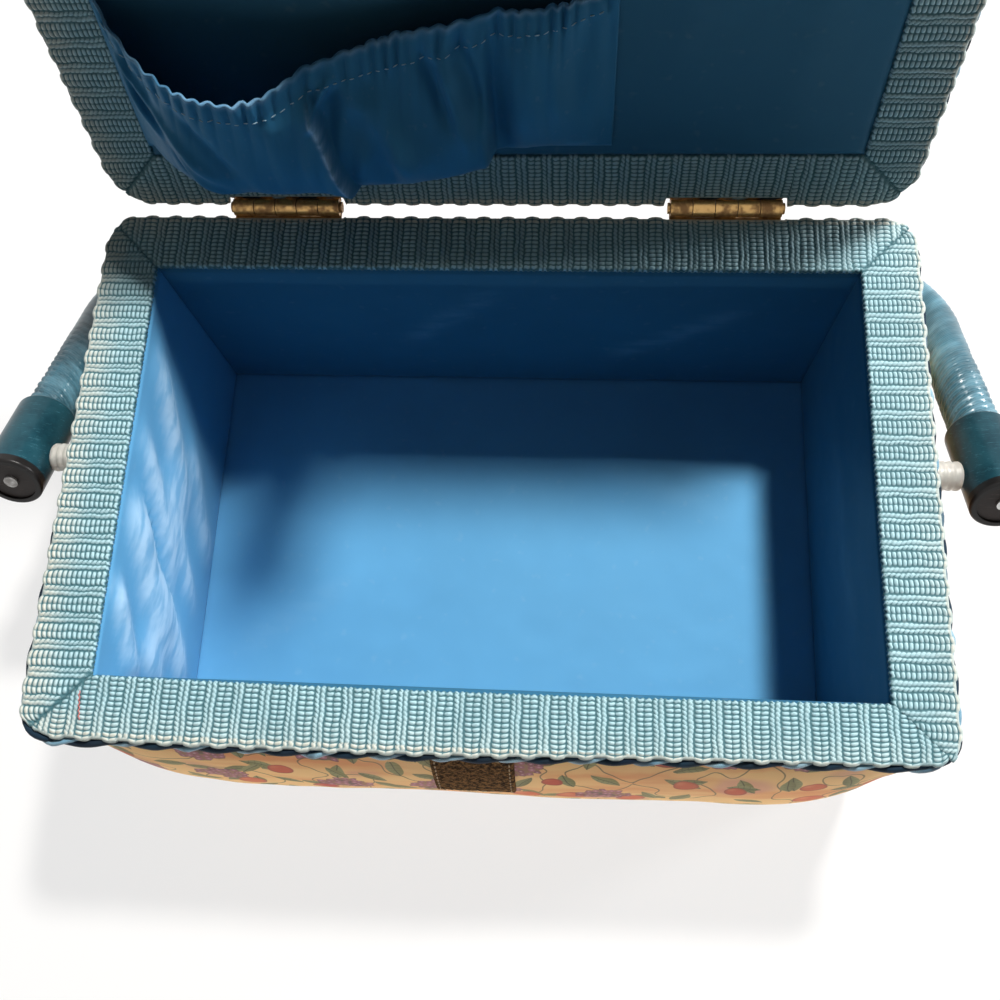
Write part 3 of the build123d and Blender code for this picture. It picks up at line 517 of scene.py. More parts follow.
def printed_cotton_material(cloth_settings):
    """Cotton with the fruit print, a little soiled."""
    made, tree, surface = material(
        "printed_cotton", Roughness=0.8, Sheen_Weight=0.15, Specular_IOR_Level=0.25
    )
    cloth = own_map(tree)
    weave = use(tree, "weave", Vector=cloth, Threads_per_Metre=2200.0, Slub=0.6)
    ground = (*cloth_settings.ground_colour, 1)
    small = mapped(tree, cloth, Scale=(1.3, 1.35, 1))
    colour = use(tree, "print", Vector=small, Ground=ground)["Color"]
    wear = use(tree, "wear", Vector=cloth, Patches_per_Metre=18.0, Sharpness=0.5)
    colour = mixed(tree, times(tree, wear["Patches"], 0.18), colour, (0.55, 0.42, 0.28))
    colour = mixed(tree, times(tree, weave["Shade"], 0.16), colour, (0.35, 0.25, 0.15))
    tree.links.new(colour, surface.inputs["Base Color"])
    bump(tree, surface, weave["Height"], 0.00008, 0.5)
    return made


def cord_material(name, colour, pale, gloss):
    """One ply of the twisted cord, with darker spots."""
    made, tree, surface = material(name, Roughness=0.6 - 0.3 * gloss, Specular_IOR_Level=0.1 + 0.4 * gloss)
    cloth = own_map(tree)
    wear = use(tree, "wear", Vector=cloth, Patches_per_Metre=60.0, Sharpness=0.5)
    fibre = fibre_value(tree, mapped(tree, cloth, Rotation=(0, 0, 0.5)), 700.0, 2.0, 1.0)
    tone = mixed(tree, wear["Patches"], colour, pale)
    spots = noise_value(tree, object_coordinates(tree), 110.0, 1.0)
    tone = mixed(tree, eased(tree, spots, 0.5, 0.6, 0.0, 0.75), tone, (0.02, 0.05, 0.085))
    tone = mixed(tree, times(tree, fibre, 0.45), tone, tuple(c * 0.35 for c in colour))
    tree.links.new(tone, surface.inputs["Base Color"])
    bump(tree, surface, fibre, 0.00012, 0.7)
    return made


def wrapping_material(handle):
    """Glossy cord wound on the handle, with painted shade in the grooves and pale streaks that are partly painted
    highlights.
    """
    made, tree, surface = material(
        "handle_winding", Roughness=0.34, Coat_Weight=0.25, Coat_Roughness=0.2, Specular_IOR_Level=0.35
    )
    cloth = own_map(tree)
    lay = put(tree, "Attribute", attribute_name="lay").outputs["Fac"]
    wear = use(tree, "wear", Vector=cloth, Patches_per_Metre=70.0, Sharpness=0.6)
    deep = tuple(c * 0.55 for c in handle.winding_colour)
    tone = mixed(tree, wear["Patches"], deep, handle.winding_colour)
    # painted shade in the winding's grooves
    tone = mixed(tree, eased(tree, lay, 0.0, 0.6), (0.008, 0.035, 0.05), tone)
    fibre = fibre_value(tree, cloth, 400.0, 1.2, 1.5)
    tone = mixed(tree, times(tree, fibre, 0.22), tone, (0.16, 0.33, 0.40))
    # pale streaks: partly mottled colour, partly painted highlights
    pale_streaks_and_highlights = noise_value(tree, mapped(tree, cloth, Scale=(1.9, 0.7, 1.0)), 70.0, 3.0)
    tone = mixed(tree, eased(tree, pale_streaks_and_highlights, 0.42, 0.74, 0.0, 0.5), tone, (0.20, 0.42, 0.54))
    tree.links.new(tone, surface.inputs["Base Color"])
    bump(tree, surface, fibre, 0.00008, 0.5)
    return made


def hard_plastic_material(name, colour, scuff, roughness, tail=None):
    """Moulded plastic with fine scratches and paler scuffs, and dark past tail behind the handle's pivot."""
    made, tree, surface = material(name, Specular_IOR_Level=0.22)
    place = object_coordinates(tree)
    wear = use(tree, "wear", Vector=place, Patches_per_Metre=90.0, Sharpness=0.75)
    stretched = mapped(tree, place, Scale=(1.0, 14.0, 3.0))
    scratch = noise_value(tree, stretched, 160.0, 5.0, Roughness=0.7)
    marks = eased(tree, scratch, 0.58, 0.68)
    tone = mixed(tree, times(tree, wear["Patches"], 0.25), colour, scuff)
    tone = mixed(tree, times(tree, marks, 0.5), tone, tuple(c * 1.6 + 0.03 for c in scuff))
    if tail:
        offset = put(tree, "VectorMath", {0: place, 1: -PIVOT * MM}, operation="ADD").outputs[0]
        inputs = {0: offset, 1: -ARM_DIRECTION}
        behind = put(tree, "VectorMath", inputs, operation="DOT_PRODUCT").outputs["Value"]
        tone = mixed(tree, eased(tree, behind, tail - 0.0004, tail), tone, (0.012, 0.011, 0.011))
    tree.links.new(tone, surface.inputs["Base Color"])
    rough = math_node(tree, "MULTIPLY_ADD", marks, 0.25, roughness)
    tree.links.new(rough, surface.inputs["Roughness"])
    bump(tree, surface, scratch, 0.0001, 0.25)
    return made


def clear_plastic_material():
    """Clear plastic gone cloudy."""
    made, tree, surface = material("clear_plastic", IOR=1.47)
    surface.inputs["Transmission Weight"].default_value = 0.6
    place = object_coordinates(tree)
    wear = use(tree, "wear", Vector=place, Patches_per_Metre=80.0, Sharpness=0.3)
    tone = mixed(tree, wear["Patches"], (0.86, 0.84, 0.78), (0.93, 0.93, 0.90))
    tree.links.new(tone, surface.inputs["Base Color"])
    tree.links.new(eased(tree, wear["Patches"], 0.0, 1.0, 0.34, 0.46), surface.inputs["Roughness"])
    return made


def metal_material(name, bright, dull, roughness):
    """Plated metal with a dull skin in patches."""
    made, tree, surface = material(name)
    place = object_coordinates(tree)
    wear = use(tree, "wear", Vector=place, Patches_per_Metre=260.0, Sharpness=0.7)
    tone = mixed(tree, wear["Patches"], bright, dull)
    tree.links.new(tone, surface.inputs["Base Color"])
    tree.links.new(eased(tree, wear["Patches"], 0.2, 1.0, 1.0, 0.75), surface.inputs["Metallic"])
    rough = eased(tree, wear["Patches"], 0.0, 1.0, roughness, roughness + 0.25)
    tree.links.new(rough, surface.inputs["Roughness"])
    grain = noise_value(tree, place, 1500.0, 3.0)
    bump(tree, surface, grain, 0.00006, 0.4)
    return made


def board_material():
    """Plain wood with its grain from side to side."""
    made, tree, surface = material("wood_board", Roughness=0.7)
    place = object_coordinates(tree)
    grain = fibre_value(tree, mapped(tree, place, Scale=(1.0, 6.0, 6.0)), 30.0, 6.0, 3.0)
    tone = mixed(tree, grain, (0.42, 0.27, 0.13), (0.62, 0.45, 0.26))
    tree.links.new(tone, surface.inputs["Base Color"])
    bump(tree, surface, grain, 0.0002, 0.3)
    return made


def base_cloth_material():
    """Dark cloth of coarse weave."""
    made, tree, surface = material("base_cloth", Roughness=0.85, Sheen_Weight=0.2)
    place = object_coordinates(tree)
    weave = use(tree, "weave", Vector=place, Threads_per_Metre=1600.0, Slub=0.8)
    wear = use(tree, "wear", Vector=place, Patches_per_Metre=25.0, Sharpness=0.5)
    tone = mixed(tree, weave["Shade"], (0.012, 0.018, 0.026), (0.03, 0.042, 0.058))
    tone = mixed(tree, times(tree, wear["Patches"], 0.3), tone, (0.06, 0.065, 0.07))
    tree.links.new(tone, surface.inputs["Base Color"])
    bump(tree, surface, weave["Height"], 0.00015, 0.7)
    return made


def loop_tape_material():
    """Matted loops, dark between the tufts."""
    made, tree, surface = material("loop_tape", Roughness=0.95, Specular_IOR_Level=0.1)
    cloth = own_map(tree)
    weave = use(tree, "weave", Vector=cloth, Threads_per_Metre=1100.0, Slub=1.0)
    fuzz = noise_value(tree, cloth, 560.0, 4.0, Roughness=0.85)
    tone = mixed(tree, eased(tree, fuzz, 0.42, 0.6), (0.012, 0.006, 0.003), (0.25, 0.13, 0.05))
    tone = mixed(tree, times(tree, weave["Shade"], 0.3), tone, (0.06, 0.03, 0.01))
    tree.links.new(tone, surface.inputs["Base Color"])
    bump(tree, surface, math_node(tree, "ADD", fuzz, weave["Height"]), 0.0005, 0.9)
    return made


def thread_material(name, colour):
    """Sewing thread."""
    made, tree, surface = material(name, Roughness=0.6, Sheen_Weight=0.2)
    place = object_coordinates(tree)
    ply = noise_value(tree, place, 2200.0, 2.0)
    tone = mixed(tree, ply, tuple(c * 0.6 for c in colour), colour)
    tree.links.new(tone, surface.inputs["Base Color"])
    bump(tree, surface, ply, 0.0001, 0.6)
    return made


def wadding_material():
    """White wadding in tufts."""
    made, tree, surface = material("wadding", Roughness=0.95, Sheen_Weight=0.4)
    place = object_coordinates(tree)
    tuft = noise_value(tree, place, 240.0, 6.0)
    tree.links.new(mixed(tree, tuft, (0.7, 0.69, 0.66), (0.85, 0.84, 0.8)), surface.inputs["Base Color"])
    bump(tree, surface, tuft, 0.001, 0.6)
    return made


# --- paths and surfaces that several pieces follow ---
def rounded_outline(half_x, half_y, corner):
    """Length of a rounded rectangle's outline, and a function from distance to place and normal."""
    flat_x, flat_y = half_x - corner, half_y - corner
    arc = corner * math.pi / 2
    sides = ((flat_x, half_y), (flat_y, half_x), (flat_x, half_y), (flat_y, half_x))
    length = 4 * (flat_x + flat_y) + 4 * arc

    def at(distance):
        distance %= length
        for turn, (flat, far) in enumerate(sides):
            if distance <= 2 * flat:
                point, normal = Vector((distance - flat, -far, 0)), Vector((0, -1, 0))
            elif distance <= 2 * flat + arc:
                angle = (distance - 2 * flat) / max(corner, 1e-6)
                normal = Vector((math.sin(angle), -math.cos(angle), 0))
                point = Vector((flat, corner - far, 0)) + normal * corner
            else:
                distance -= 2 * flat + arc
                continue
            turned = Matrix.Rotation(turn * math.pi / 2, 3, "Z")
            return turned @ point, turned @ normal
        return at(0.0)

    return length, at


def eased_list(stations, value):
    """Values read smoothly between stations of (place, value, ...)."""
    if value <= stations[0][0]:
        return stations[0][1:]
    for index in range(len(stations) - 1):
        low, high = stations[index], stations[index + 1]
        if value <= high[0]:
            before = stations[max(index - 1, 0)]
            after = stations[min(index + 2, len(stations) - 1)]
            span = high[0] - low[0]
            t = (value - low[0]) / span
            out = []
            for k in range(1, len(low)):
                into = (high[k] - before[k]) / (high[0] - before[0]) * span
                away = (after[k] - low[k]) / (after[0] - low[0]) * span
                out.append(
                    (2 * t**3 - 3 * t**2 + 1) * low[k]
                    + (t**3 - 2 * t**2 + t) * into
                    + (3 * t**2 - 2 * t**3) * high[k]
                    + (t**3 - t**2) * away
                )
            return tuple(out)
    return stations[-1][1:]


def rolled(distance, radius):
    """Thickness share near an edge that is rolled over with a radius."""
    if distance >= radius:
        return 1.0
    return math.sqrt(max(0.0, 1 - (1 - max(distance, 0.0) / radius) ** 2))


def to_edges(share):
    """Share of a width, with the columns drawn closer together near both edges."""
    return 0.6 * share + 0.4 * (0.5 - 0.5 * math.cos(math.pi * share))


def pad_slab(columns, rows, size, place, edge, half, uv=None):
    """Closed pad or strap: place(x, y, off) puts a point of its flat layout, off its middle."""
    width, length = size
    halves = []
    for side in (1, -1):
        def put_point(u, v, side=side):
            x, y = to_edges(u) * width, to_edges(v) * length
            near = min(x, width - x, y, length - y)
            return place(x, y, side * half * rolled(near, edge))

        def put_uv(u, v):
            x, y = to_edges(u) * width * MM, to_edges(v) * length * MM
            return uv(x, y) if uv else (x, y)

        halves.append(cloth_grid(columns, rows, put_point, uv=put_uv))
    meshes = []
    for bm in halves:
        mesh = bpy.data.meshes.new("half")
        bm.to_mesh(mesh)
        bm.free()
        meshes.append(mesh)
    whole = bmesh.new()
    for mesh in meshes:
        whole.from_mesh(mesh)
        bpy.data.meshes.remove(mesh)
    weld(whole)
    return whole


def swell_share(height):
    """How far the wall padding has swollen at a height, from 0 at its edges to 1."""
    share = (height - COVER_LOW.z) / (SWELL_TOP - COVER_LOW.z)
    return math.sin(math.pi * share) ** 0.8 if 0 < share < 1 else 0.0


def along_share(distance):
    """The swell's share at a distance from the corner's end of a wall."""
    return eased_list(((0.0, 0.24), (8.0, 0.56), (24.0, 0.86), (48.0, 1.0), (400.0, 1.0)), distance)[0]


SWELL_TOP = WALL_TOP - 2.6
FRONT_SWELL = -COVER_LOW.y - COVER_HALF[1]
SIDE_SWELL = -COVER_LOW.x - COVER_HALF[0]
COVER_LENGTH, cover_at = rounded_outline(*COVER_HALF, COVER_CORNER)


def wall_surface(distance, height, out=0.0):
    """Point of the padded walls' outside, at a distance round the outline and a height."""
    point, normal = cover_at(distance)
    flat_front, flat_side = COVER_HALF[0] - COVER_CORNER, COVER_HALF[1] - COVER_CORNER
    if abs(normal.y) > 0.999:
        swell, inside = FRONT_SWELL, flat_front - abs(point.x)
    elif abs(normal.x) > 0.999:
        swell, inside = SIDE_SWELL, flat_side - abs(point.y)
    else:
        swell, inside = FRONT_SWELL * normal.y**4 + SIDE_SWELL * normal.x**4, 0.0
    rise = swell * along_share(max(inside, 0.0)) * swell_share(height)
    return point + normal * (rise + out) + Vector((0, 0, height))


def front_distance(x):
    """Distance round the outline of a place on the front wall."""
    return x + COVER_HALF[0] - COVER_CORNER


# --- braid ---
LADDER = 0.288               # share of a repeat in one lobe of the ladder
CHAIN = 0.212                # share in one row of chain
BAR = 1.46                   # pitch of the bars and chain loops across the braid
REPEAT = 8.5                 # of the ladder and its chain, along the braid
PER_REPEAT = 20              # columns of the mesh in a repeat
PER_BAR = 4                  # rows of the mesh in a bar
HINGE_ROOM = 20.25           # half the width of the notch in the braid at a hinge
# how far the front braid's lobes stand out past the rim, from its left end, -1, to its right, 1
FRONT_REACH = (
    (-1.0, 1.0),
    (-0.7, 1.9),
    (-0.33, 2.1),
    (0.0, 1.8),
    (0.25, 0.9),
    (0.5, 0.4),
    (0.75, -0.2),
    (1.0, -0.7),
)
LEVEL = ((-1, 0.7), (1, 0.7))
BRAID_RINGS = (
    {
        "name": "rim",
        "body": "box",
        "place": RIM_PLACE,
        "half": (RIM_HIGH.x, RIM_HIGH.y),
        "width": RIM_BRAID,
        "corner": RIM_CORNER,
        # for the front, right, back and left: reach of the lobes, depth of the two mitres, and
        # how far the inner edge bends back
        "reaches": (FRONT_REACH, ((-1, 0.7), (1, 0.9)), ((-1, 1.9), (1, 1.9)), ((-1, 0.9), (1, 2.6))),
        "seams": ((1.0, 0.3), (0.3, 0.7), (0.7, 0.7), (0.7, 1.0)),
        "bows": (1.5, 0, 0, 0),
        "hinged": "back",
        "notch": -0.9,
    },
    {
        "name": "lid",
        "body": "lid",
        "place": LID_PLACE,
        "half": (LID_SIZE[0] / 2, LID_SIZE[1] / 2),
        "width": LID_BRAID,
        "corner": LID_CORNER,
        "reaches": (((-1, 1.8), (1, 1.8)), LEVEL, LEVEL, LEVEL),
        "seams": ((1.0, 1.0),) * 4,
        "bows": (0, 0, 0, 0),
        "hinged": "front",
        "notch": 2.1,
    },
)


def braid_height(phase, row):
    """Relief of the braid: a two-lobed ladder, then two rows of slanting chain."""
    if phase < 2 * LADDER:
        local = phase / LADDER
        floor = 0.30 if abs(local - 1) < 0.5 else 0.05
        return (floor + (1 - floor) * abs(math.sin(math.pi * local)) ** 0.7) * wave(row)
    local = (phase - 2 * LADDER) / CHAIN
    floor = 0.28 if abs(local - 1) < 0.5 else 0.05
    return 0.97 * (floor + (1 - floor) * abs(math.sin(math.pi * local)) ** 0.8) * wave(row + 0.9 * local)


def scallop(phase):
    """How far the braid's outer edge falls short: least at the ladders."""
    return 0.8 - 0.8 * math.sin(math.pi * phase / (2 * LADDER)) ** 0.5 if phase < 2 * LADDER else 0.8


def braid_strip(ring, turn, side):
    """One side of a braid ring in its flat layout, mitred at both ends."""
    half, far = ring["half"] if turn % 2 == 0 else ring["half"][::-1]
    width, corner, seams = ring["width"], ring["corner"], ring["seams"][turn]
    reach, bow, seed = ring["reaches"][turn], ring["bows"][turn], turn + 1
    hinges = (-HINGE_X, HINGE_X) if side == ring["hinged"] else ()
    repeats = round(2 * half / REPEAT)
    columns, rows = repeats * PER_REPEAT, PER_BAR * round(width / BAR)
    repeat = 2 * half / repeats
    known = {}

    def reached(s):
        if s not in known:
            known[s] = eased_list(reach, s / half)[0]
        return known[s]

    def along(u):
        column = round(u * columns)
        step = column % PER_REPEAT
        share = step / 6 * LADDER if step <= 12 else 2 * LADDER + (step - 12) / 4 * CHAIN
        return (column // PER_REPEAT + share) * repeat - half, share

    def across(s, share, v):
        start = scallop(share) - reached(s)
        into = abs(s) - (half - corner)
        if into > 0:
            start += corner - math.sqrt(max(corner * corner - into * into, 0.0))
        for hinge in hinges:
            start += max(ring["notch"] - start, 0.0) * smooth(HINGE_ROOM - abs(s - hinge), -0.6, 0.0)
        fringe = 0.25 * math.sin(2 * math.pi * share * 4.7 + seed) * v**8
        full = width + fringe - bow * (1 - (s / half) ** 2)
        return start + (full - start) * v

    def pattern(s, share, v, w):
        row = round(v * rows) / PER_BAR
        relief = braid_height(share, row)
        relief += (0.5 - relief) * (1 - smooth(w - across(s, share, 0.0), 0.6, 1.0))
        relief *= 1 + 0.22 * noise.noise(Vector((s * 0.9, w * 0.8, seed * 2.3)))
        seam = 1 - smooth((half - abs(s) - w) / math.sqrt(2), 0.0, 1.3)
        return relief, 1 - seam * seams[0 if s < 0 else 1]

    # relief share that sets the painted shade in the grooves and where soil sits; it is lower along the mitres,
    # which darkens them the same way
    def lay(u, v):
        s, share = along(u)
        relief, mitre = pattern(s, share, v, across(s, share, v))
        return relief * (0.25 + 0.75 * mitre)

    def place(u, v):
        s, share = along(u)
        w = across(s, share, v)
        relief, mitre = pattern(s, share, v, w)
        into = w - across(s, share, 0.0)
        edge = min(0.62 + 0.38 * rolled(into, 0.9), 0.5 + 0.5 * rolled((1 - v) * width, 0.8))
        drift = noise.noise(Vector((s * 0.035, w * 0.05, seed * 3.1)))
        z = (1.15 + 0.82 * relief) * edge * (0.45 + 0.55 * mitre) + 0.22 * drift * edge
        jog = 0.4 * noise.noise(Vector((s * 0.3, w * 0.25, seed * 5.7)))
        return Vector((s + jog * mitre, w - far, z))

    bm = cloth_grid(
        columns,
        rows,
        place,
        lay=lay,
        uv=lambda u, v: (along(u)[0] * MM, (width - across(*along(u), v)) * MM),
    )
    for side in (-1, 1):
        bmesh.ops.bisect_plane(
            bm,
            geom=[*bm.verts, *bm.edges, *bm.faces],
            dist=0.0001,
            plane_co=(side * half, -far, 0),
            plane_no=(side, 1, 0),
            clear_outer=True,
        )
    close_below(bm, 0.0, Vector((0, 0, -1)))
    return bm


def braid_ring(ring):
    """Four mitred strips of braid round a rim, which stand for the plain ring."""
    node = f"{ring['name']}_braid"
    for turn, side in enumerate(("front", "right", "back", "left")):
        bm = braid_strip(ring, turn, side)
        bm.transform(ring["place"] @ Matrix.Rotation(turn * math.pi / 2, 4, "Z"))
        add_piece(bm, f"{node}_{side}", "gimp_braid", ring["body"], (node,))


# --- twisted cord ---
PLY_RING = 8                 # faces round a ply
PLY_COLUMNS = 12             # along a ply, to each turn
PLIES = (
    # finish, radius, distance off the cord's line, phase, and how unevenly the ply shows
    ("light", 0.95, 0.85, 0.0, 0.9),
    ("dark", 1.45, 0.6, math.pi, 0.0),
)


def ply_tube(length, at, turns, radius, off, phase, patchy):
    """One ply of a closed cord, wound round the cord's line at(distance) -> point, across, up."""

    def place(u, v):
        point, across, up = at(u * length)
        angle = 2 * math.pi * (turns * u) + phase
        around = across * math.cos(angle) + up * math.sin(angle)
        spin = 2 * math.pi * v
        tube = across * math.cos(spin) + up * math.sin(spin)
        uneven = 1 + 0.06 * noise.noise(point * 0.21)
        shown = 1 + patchy * noise.noise(point * 0.13)
        return point + around * off * shown + tube * radius * uneven * (0.5 + 0.5 * shown)

    def flat(u, v):
        return u * length * MM, v * radius * 2 * math.pi * MM

    bm = cloth_grid(turns * PLY_COLUMNS, PLY_RING, place, uv=flat)
    weld(bm)
    return bm


def under_front_lobes(point):
    """Move a point of the rim cord's line out to where the front braid's lobes end."""
    point.x -= 2.0 * smooth(-point.x, 100, 134) * smooth(-point.y, -40, 70)
    share = min(max(point.x / RIM_HIGH.x, -1.0), 1.0)
    out = eased_list(FRONT_REACH, share)[0] + 0.2 + 0.8 * smooth(-share, 0.75, 0.95)
    point.y -= out * smooth(-point.y, 78, 90)


def cord_pair(ring, half_x, half_y, corner, height, twist):
    """Light and dark ply of a twisted cord round a braid's edge, standing for the plain cord."""
    length, outline = rounded_outline(half_x, half_y, corner)
    turned = ring["place"].to_3x3()
    node = f"{ring['name']}_cord"

    def at(distance):
        point, normal = outline(distance)
        if ring["name"] == "rim":
            under_front_lobes(point)
        up = Vector((0, 0, 1))
        return ring["place"] @ (point + up * height), turned @ normal, turned @ up

    turns = round(length * MM / twist)
    for name, radius, off, phase, patchy in PLIES:
        bm = ply_tube(length, at, turns, radius, off, phase, patchy)
        add_piece(bm, f"{node}_{name}", f"cord_{name}", ring["body"], (node,))


# --- line of the handle ---
FERRULE_GAP = 0.3            # from a spacer to the end sleeve
FERRULE_RADIUS = 10.25
ARM_X = (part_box("handle_spacers")[1].x / MM) + FERRULE_GAP + FERRULE_RADIUS
ARM_DIRECTION = Vector((0, math.cos(REST), -math.sin(REST)))
BEND = 42.0                  # radius of the two bends
FERRULE_NOSE = 21.0          # from the pivot to the end of an end sleeve
WIND_RADIUS = 8.0
REST_GAP = 1.4               # from the handle's bar to the padded back wall
REACH = (COVER_HALF[1] + FRONT_SWELL + REST_GAP + WIND_RADIUS - PIVOT.y) / math.cos(REST)


def bail_at(distance, start):
    """Place, tangent and inward normal on the bail's line, from the left arm to the right."""
    arm = REACH - BEND - start
    arc = BEND * math.pi / 2
    bar = 2 * (ARM_X - BEND)
    across = Vector((1, 0, 0))
    base = PIVOT.copy()
    if distance < arm:
        point = base - across * ARM_X + ARM_DIRECTION * (start + distance)
        return point, ARM_DIRECTION.copy(), across.copy()
    distance -= arm
    if distance < arc:
        angle = distance / BEND
        centre = base - across * (ARM_X - BEND) + ARM_DIRECTION * (REACH - BEND)
        out = -across * math.cos(angle) + ARM_DIRECTION * math.sin(angle)
        return centre + out * BEND, across * math.sin(angle) + ARM_DIRECTION * math.cos(angle), -out
    distance -= arc
    if distance < bar:
        point = base + across * (BEND - ARM_X + distance) + ARM_DIRECTION * REACH
        return point, across.copy(), -ARM_DIRECTION
    distance -= bar
    if distance < arc:
        angle = distance / BEND
        centre = base + across * (ARM_X - BEND) + ARM_DIRECTION * (REACH - BEND)
        out = across * math.sin(angle) + ARM_DIRECTION * math.cos(angle)
        return centre + out * BEND, across * math.cos(angle) - ARM_DIRECTION * math.sin(angle), -out
    distance -= arc
    return base + across * ARM_X + ARM_DIRECTION * (REACH - BEND - distance), -ARM_DIRECTION, -across


def bail_length(start):
    """Length of the bail's line between places this far from the pivot on both arms."""
    return 2 * (REACH - BEND - start) + math.pi * BEND + 2 * (ARM_X - BEND)


# --- folds ---
def fold(x, y, start, end, width, height):
    """Height of one soft fold that runs from start to end and fades at both."""
    (ax, ay), (bx, by) = start, end
    dx, dy = bx - ax, by - ay
    span = math.hypot(dx, dy)
    along = ((x - ax) * dx + (y - ay) * dy) / span
    aside = abs((x - ax) * dy - (y - ay) * dx) / span
    fade = smooth(along, -0.15 * span, 0.25 * span) * (1 - smooth(along, 0.7 * span, 1.15 * span))
    return height * fade * math.exp(-((aside / width) ** 2))


def lined_pad(size, place, edge, thick, folds, seed, puff=0.5):
    """Thin padded lining panel: place(x, y, z) sets its flat layout, z off the card behind it."""
    width, length = size
    columns, rows = max(24, round(width / 2.6)), max(24, round(length / 2.6))

    def lift(x, y):
        near = min(x, width - x, y, length - y)
        soft = puff * noise.noise(Vector((x * 0.03, y * 0.03, seed)))
        fine = 0.18 * noise.noise(Vector((x * 0.11, y * 0.13, seed + 9.0)))
        pleats = sum(fold(x, y, *item) for item in folds)
        return thick * (0.35 + 0.65 * rolled(near, edge)) + (soft + fine + pleats) * smooth(near, 0.0, 9.0)

    def point(u, v):
        x, y = to_edges(u) * width, to_edges(v) * length
        return Vector((x, y, lift(x, y)))

    # mask of the fold crests, for painted sheen and some wear
    def crest_sheen_and_wear(u, v):
        x, y = to_edges(u) * width, to_edges(v) * length
        return smooth(sum(fold(x, y, *item) for item in folds), 0.3, 3.0)

    def flat(u, v):
        return to_edges(u) * width * MM, to_edges(v) * length * MM

    bm = cloth_grid(columns, rows, point, lay=crest_sheen_and_wear, uv=flat)
    close_below(bm, 0.0, Vector((0, 0, -1)))
    for vert in bm.verts:
        vert.co = place(*vert.co)
    bmesh.ops.recalc_face_normals(bm, faces=bm.faces)
    return bm


# --- lid pocket ---
POCKET_STATIONS = (
    # across; then up from the pins and off the lining, from near the bottom seam to the hem
    (0.0, 31.0, 0.9, 42.0, 0.9, 55.0, 0.9, 70.0, 0.9, 83.0, 0.7),
    (6.0, 24.5, 4.5, 30.0, 8.0, 45.0, 10.0, 62.0, 10.0, 75.0, 8.5),
    (14.0, 21.5, 8.0, 25.0, 13.0, 38.0, 16.0, 54.0, 17.0, 69.0, 17.0),
    (24.0, 19.3, 10.0, 21.5, 16.0, 32.0, 21.0, 48.0, 23.0, 64.0, 22.5),
    (40.0, 18.2, 10.0, 20.0, 16.5, 30.0, 22.0, 45.0, 25.5, 60.5, 27.0),
    (52.0, 17.9, 9.5, 19.5, 16.0, 30.0, 21.0, 44.0, 22.5, 60.5, 22.0),
    (65.0, 18.4, 9.5, 20.0, 15.5, 31.0, 19.0, 47.0, 17.0, 64.5, 14.0),
    (86.0, 19.7, 9.0, 21.0, 14.5, 32.0, 17.0, 50.0, 13.5, 70.0, 10.0),
    (100.0, 21.2, 8.5, 23.0, 13.5, 34.0, 15.0, 52.0, 11.5, 73.0, 8.5),
    (112.0, 23.6, 7.5, 26.5, 12.5, 38.5, 13.5, 55.0, 11.0, 74.6, 8.4),
    (115.0, 24.6, 7.0, 27.5, 12.0, 40.0, 12.5, 56.0, 9.0, 75.0, 8.0),
    (117.6, 26.5, 2.6, 30.0, 3.2, 42.0, 3.4, 58.0, 4.6, 75.4, 6.6),
    (127.0, 27.0, 3.5, 31.0, 6.5, 44.0, 10.0, 60.0, 9.5, 76.3, 7.0),
    (140.0, 28.0, 3.0, 33.0, 4.5, 46.0, 6.0, 62.0, 5.5, 77.0, 4.0),
    (154.5, 31.0, 0.9, 42.0, 0.9, 55.0, 0.9, 68.0, 0.9, 77.5, 0.8),
)
POCKET_SPAN = 154.5
POCKET_SEAM = 25.5           # bottom seam, up from the pins
POCKET_MAP = (0.28, 0.075)   # size of its cloth map, in metres
LINING_FACE = 1.05
HEM_STITCHES = 0.865         # share of the way up to the hem


def lid_point(across, up, height):
    """Point on the lid, from its lining's left edge, from the pins, and over the pins when shut."""
    return PIN + LID_UP * up + LID_OUT * height + Vector((across - LINING_HIGH.x, 0, 0))


def past_crease(across, v):
    """How far a place is past the pocket's one sharp crease, which leans with height."""
    return across - 61 - 12 * (1 - v) ** 1.2


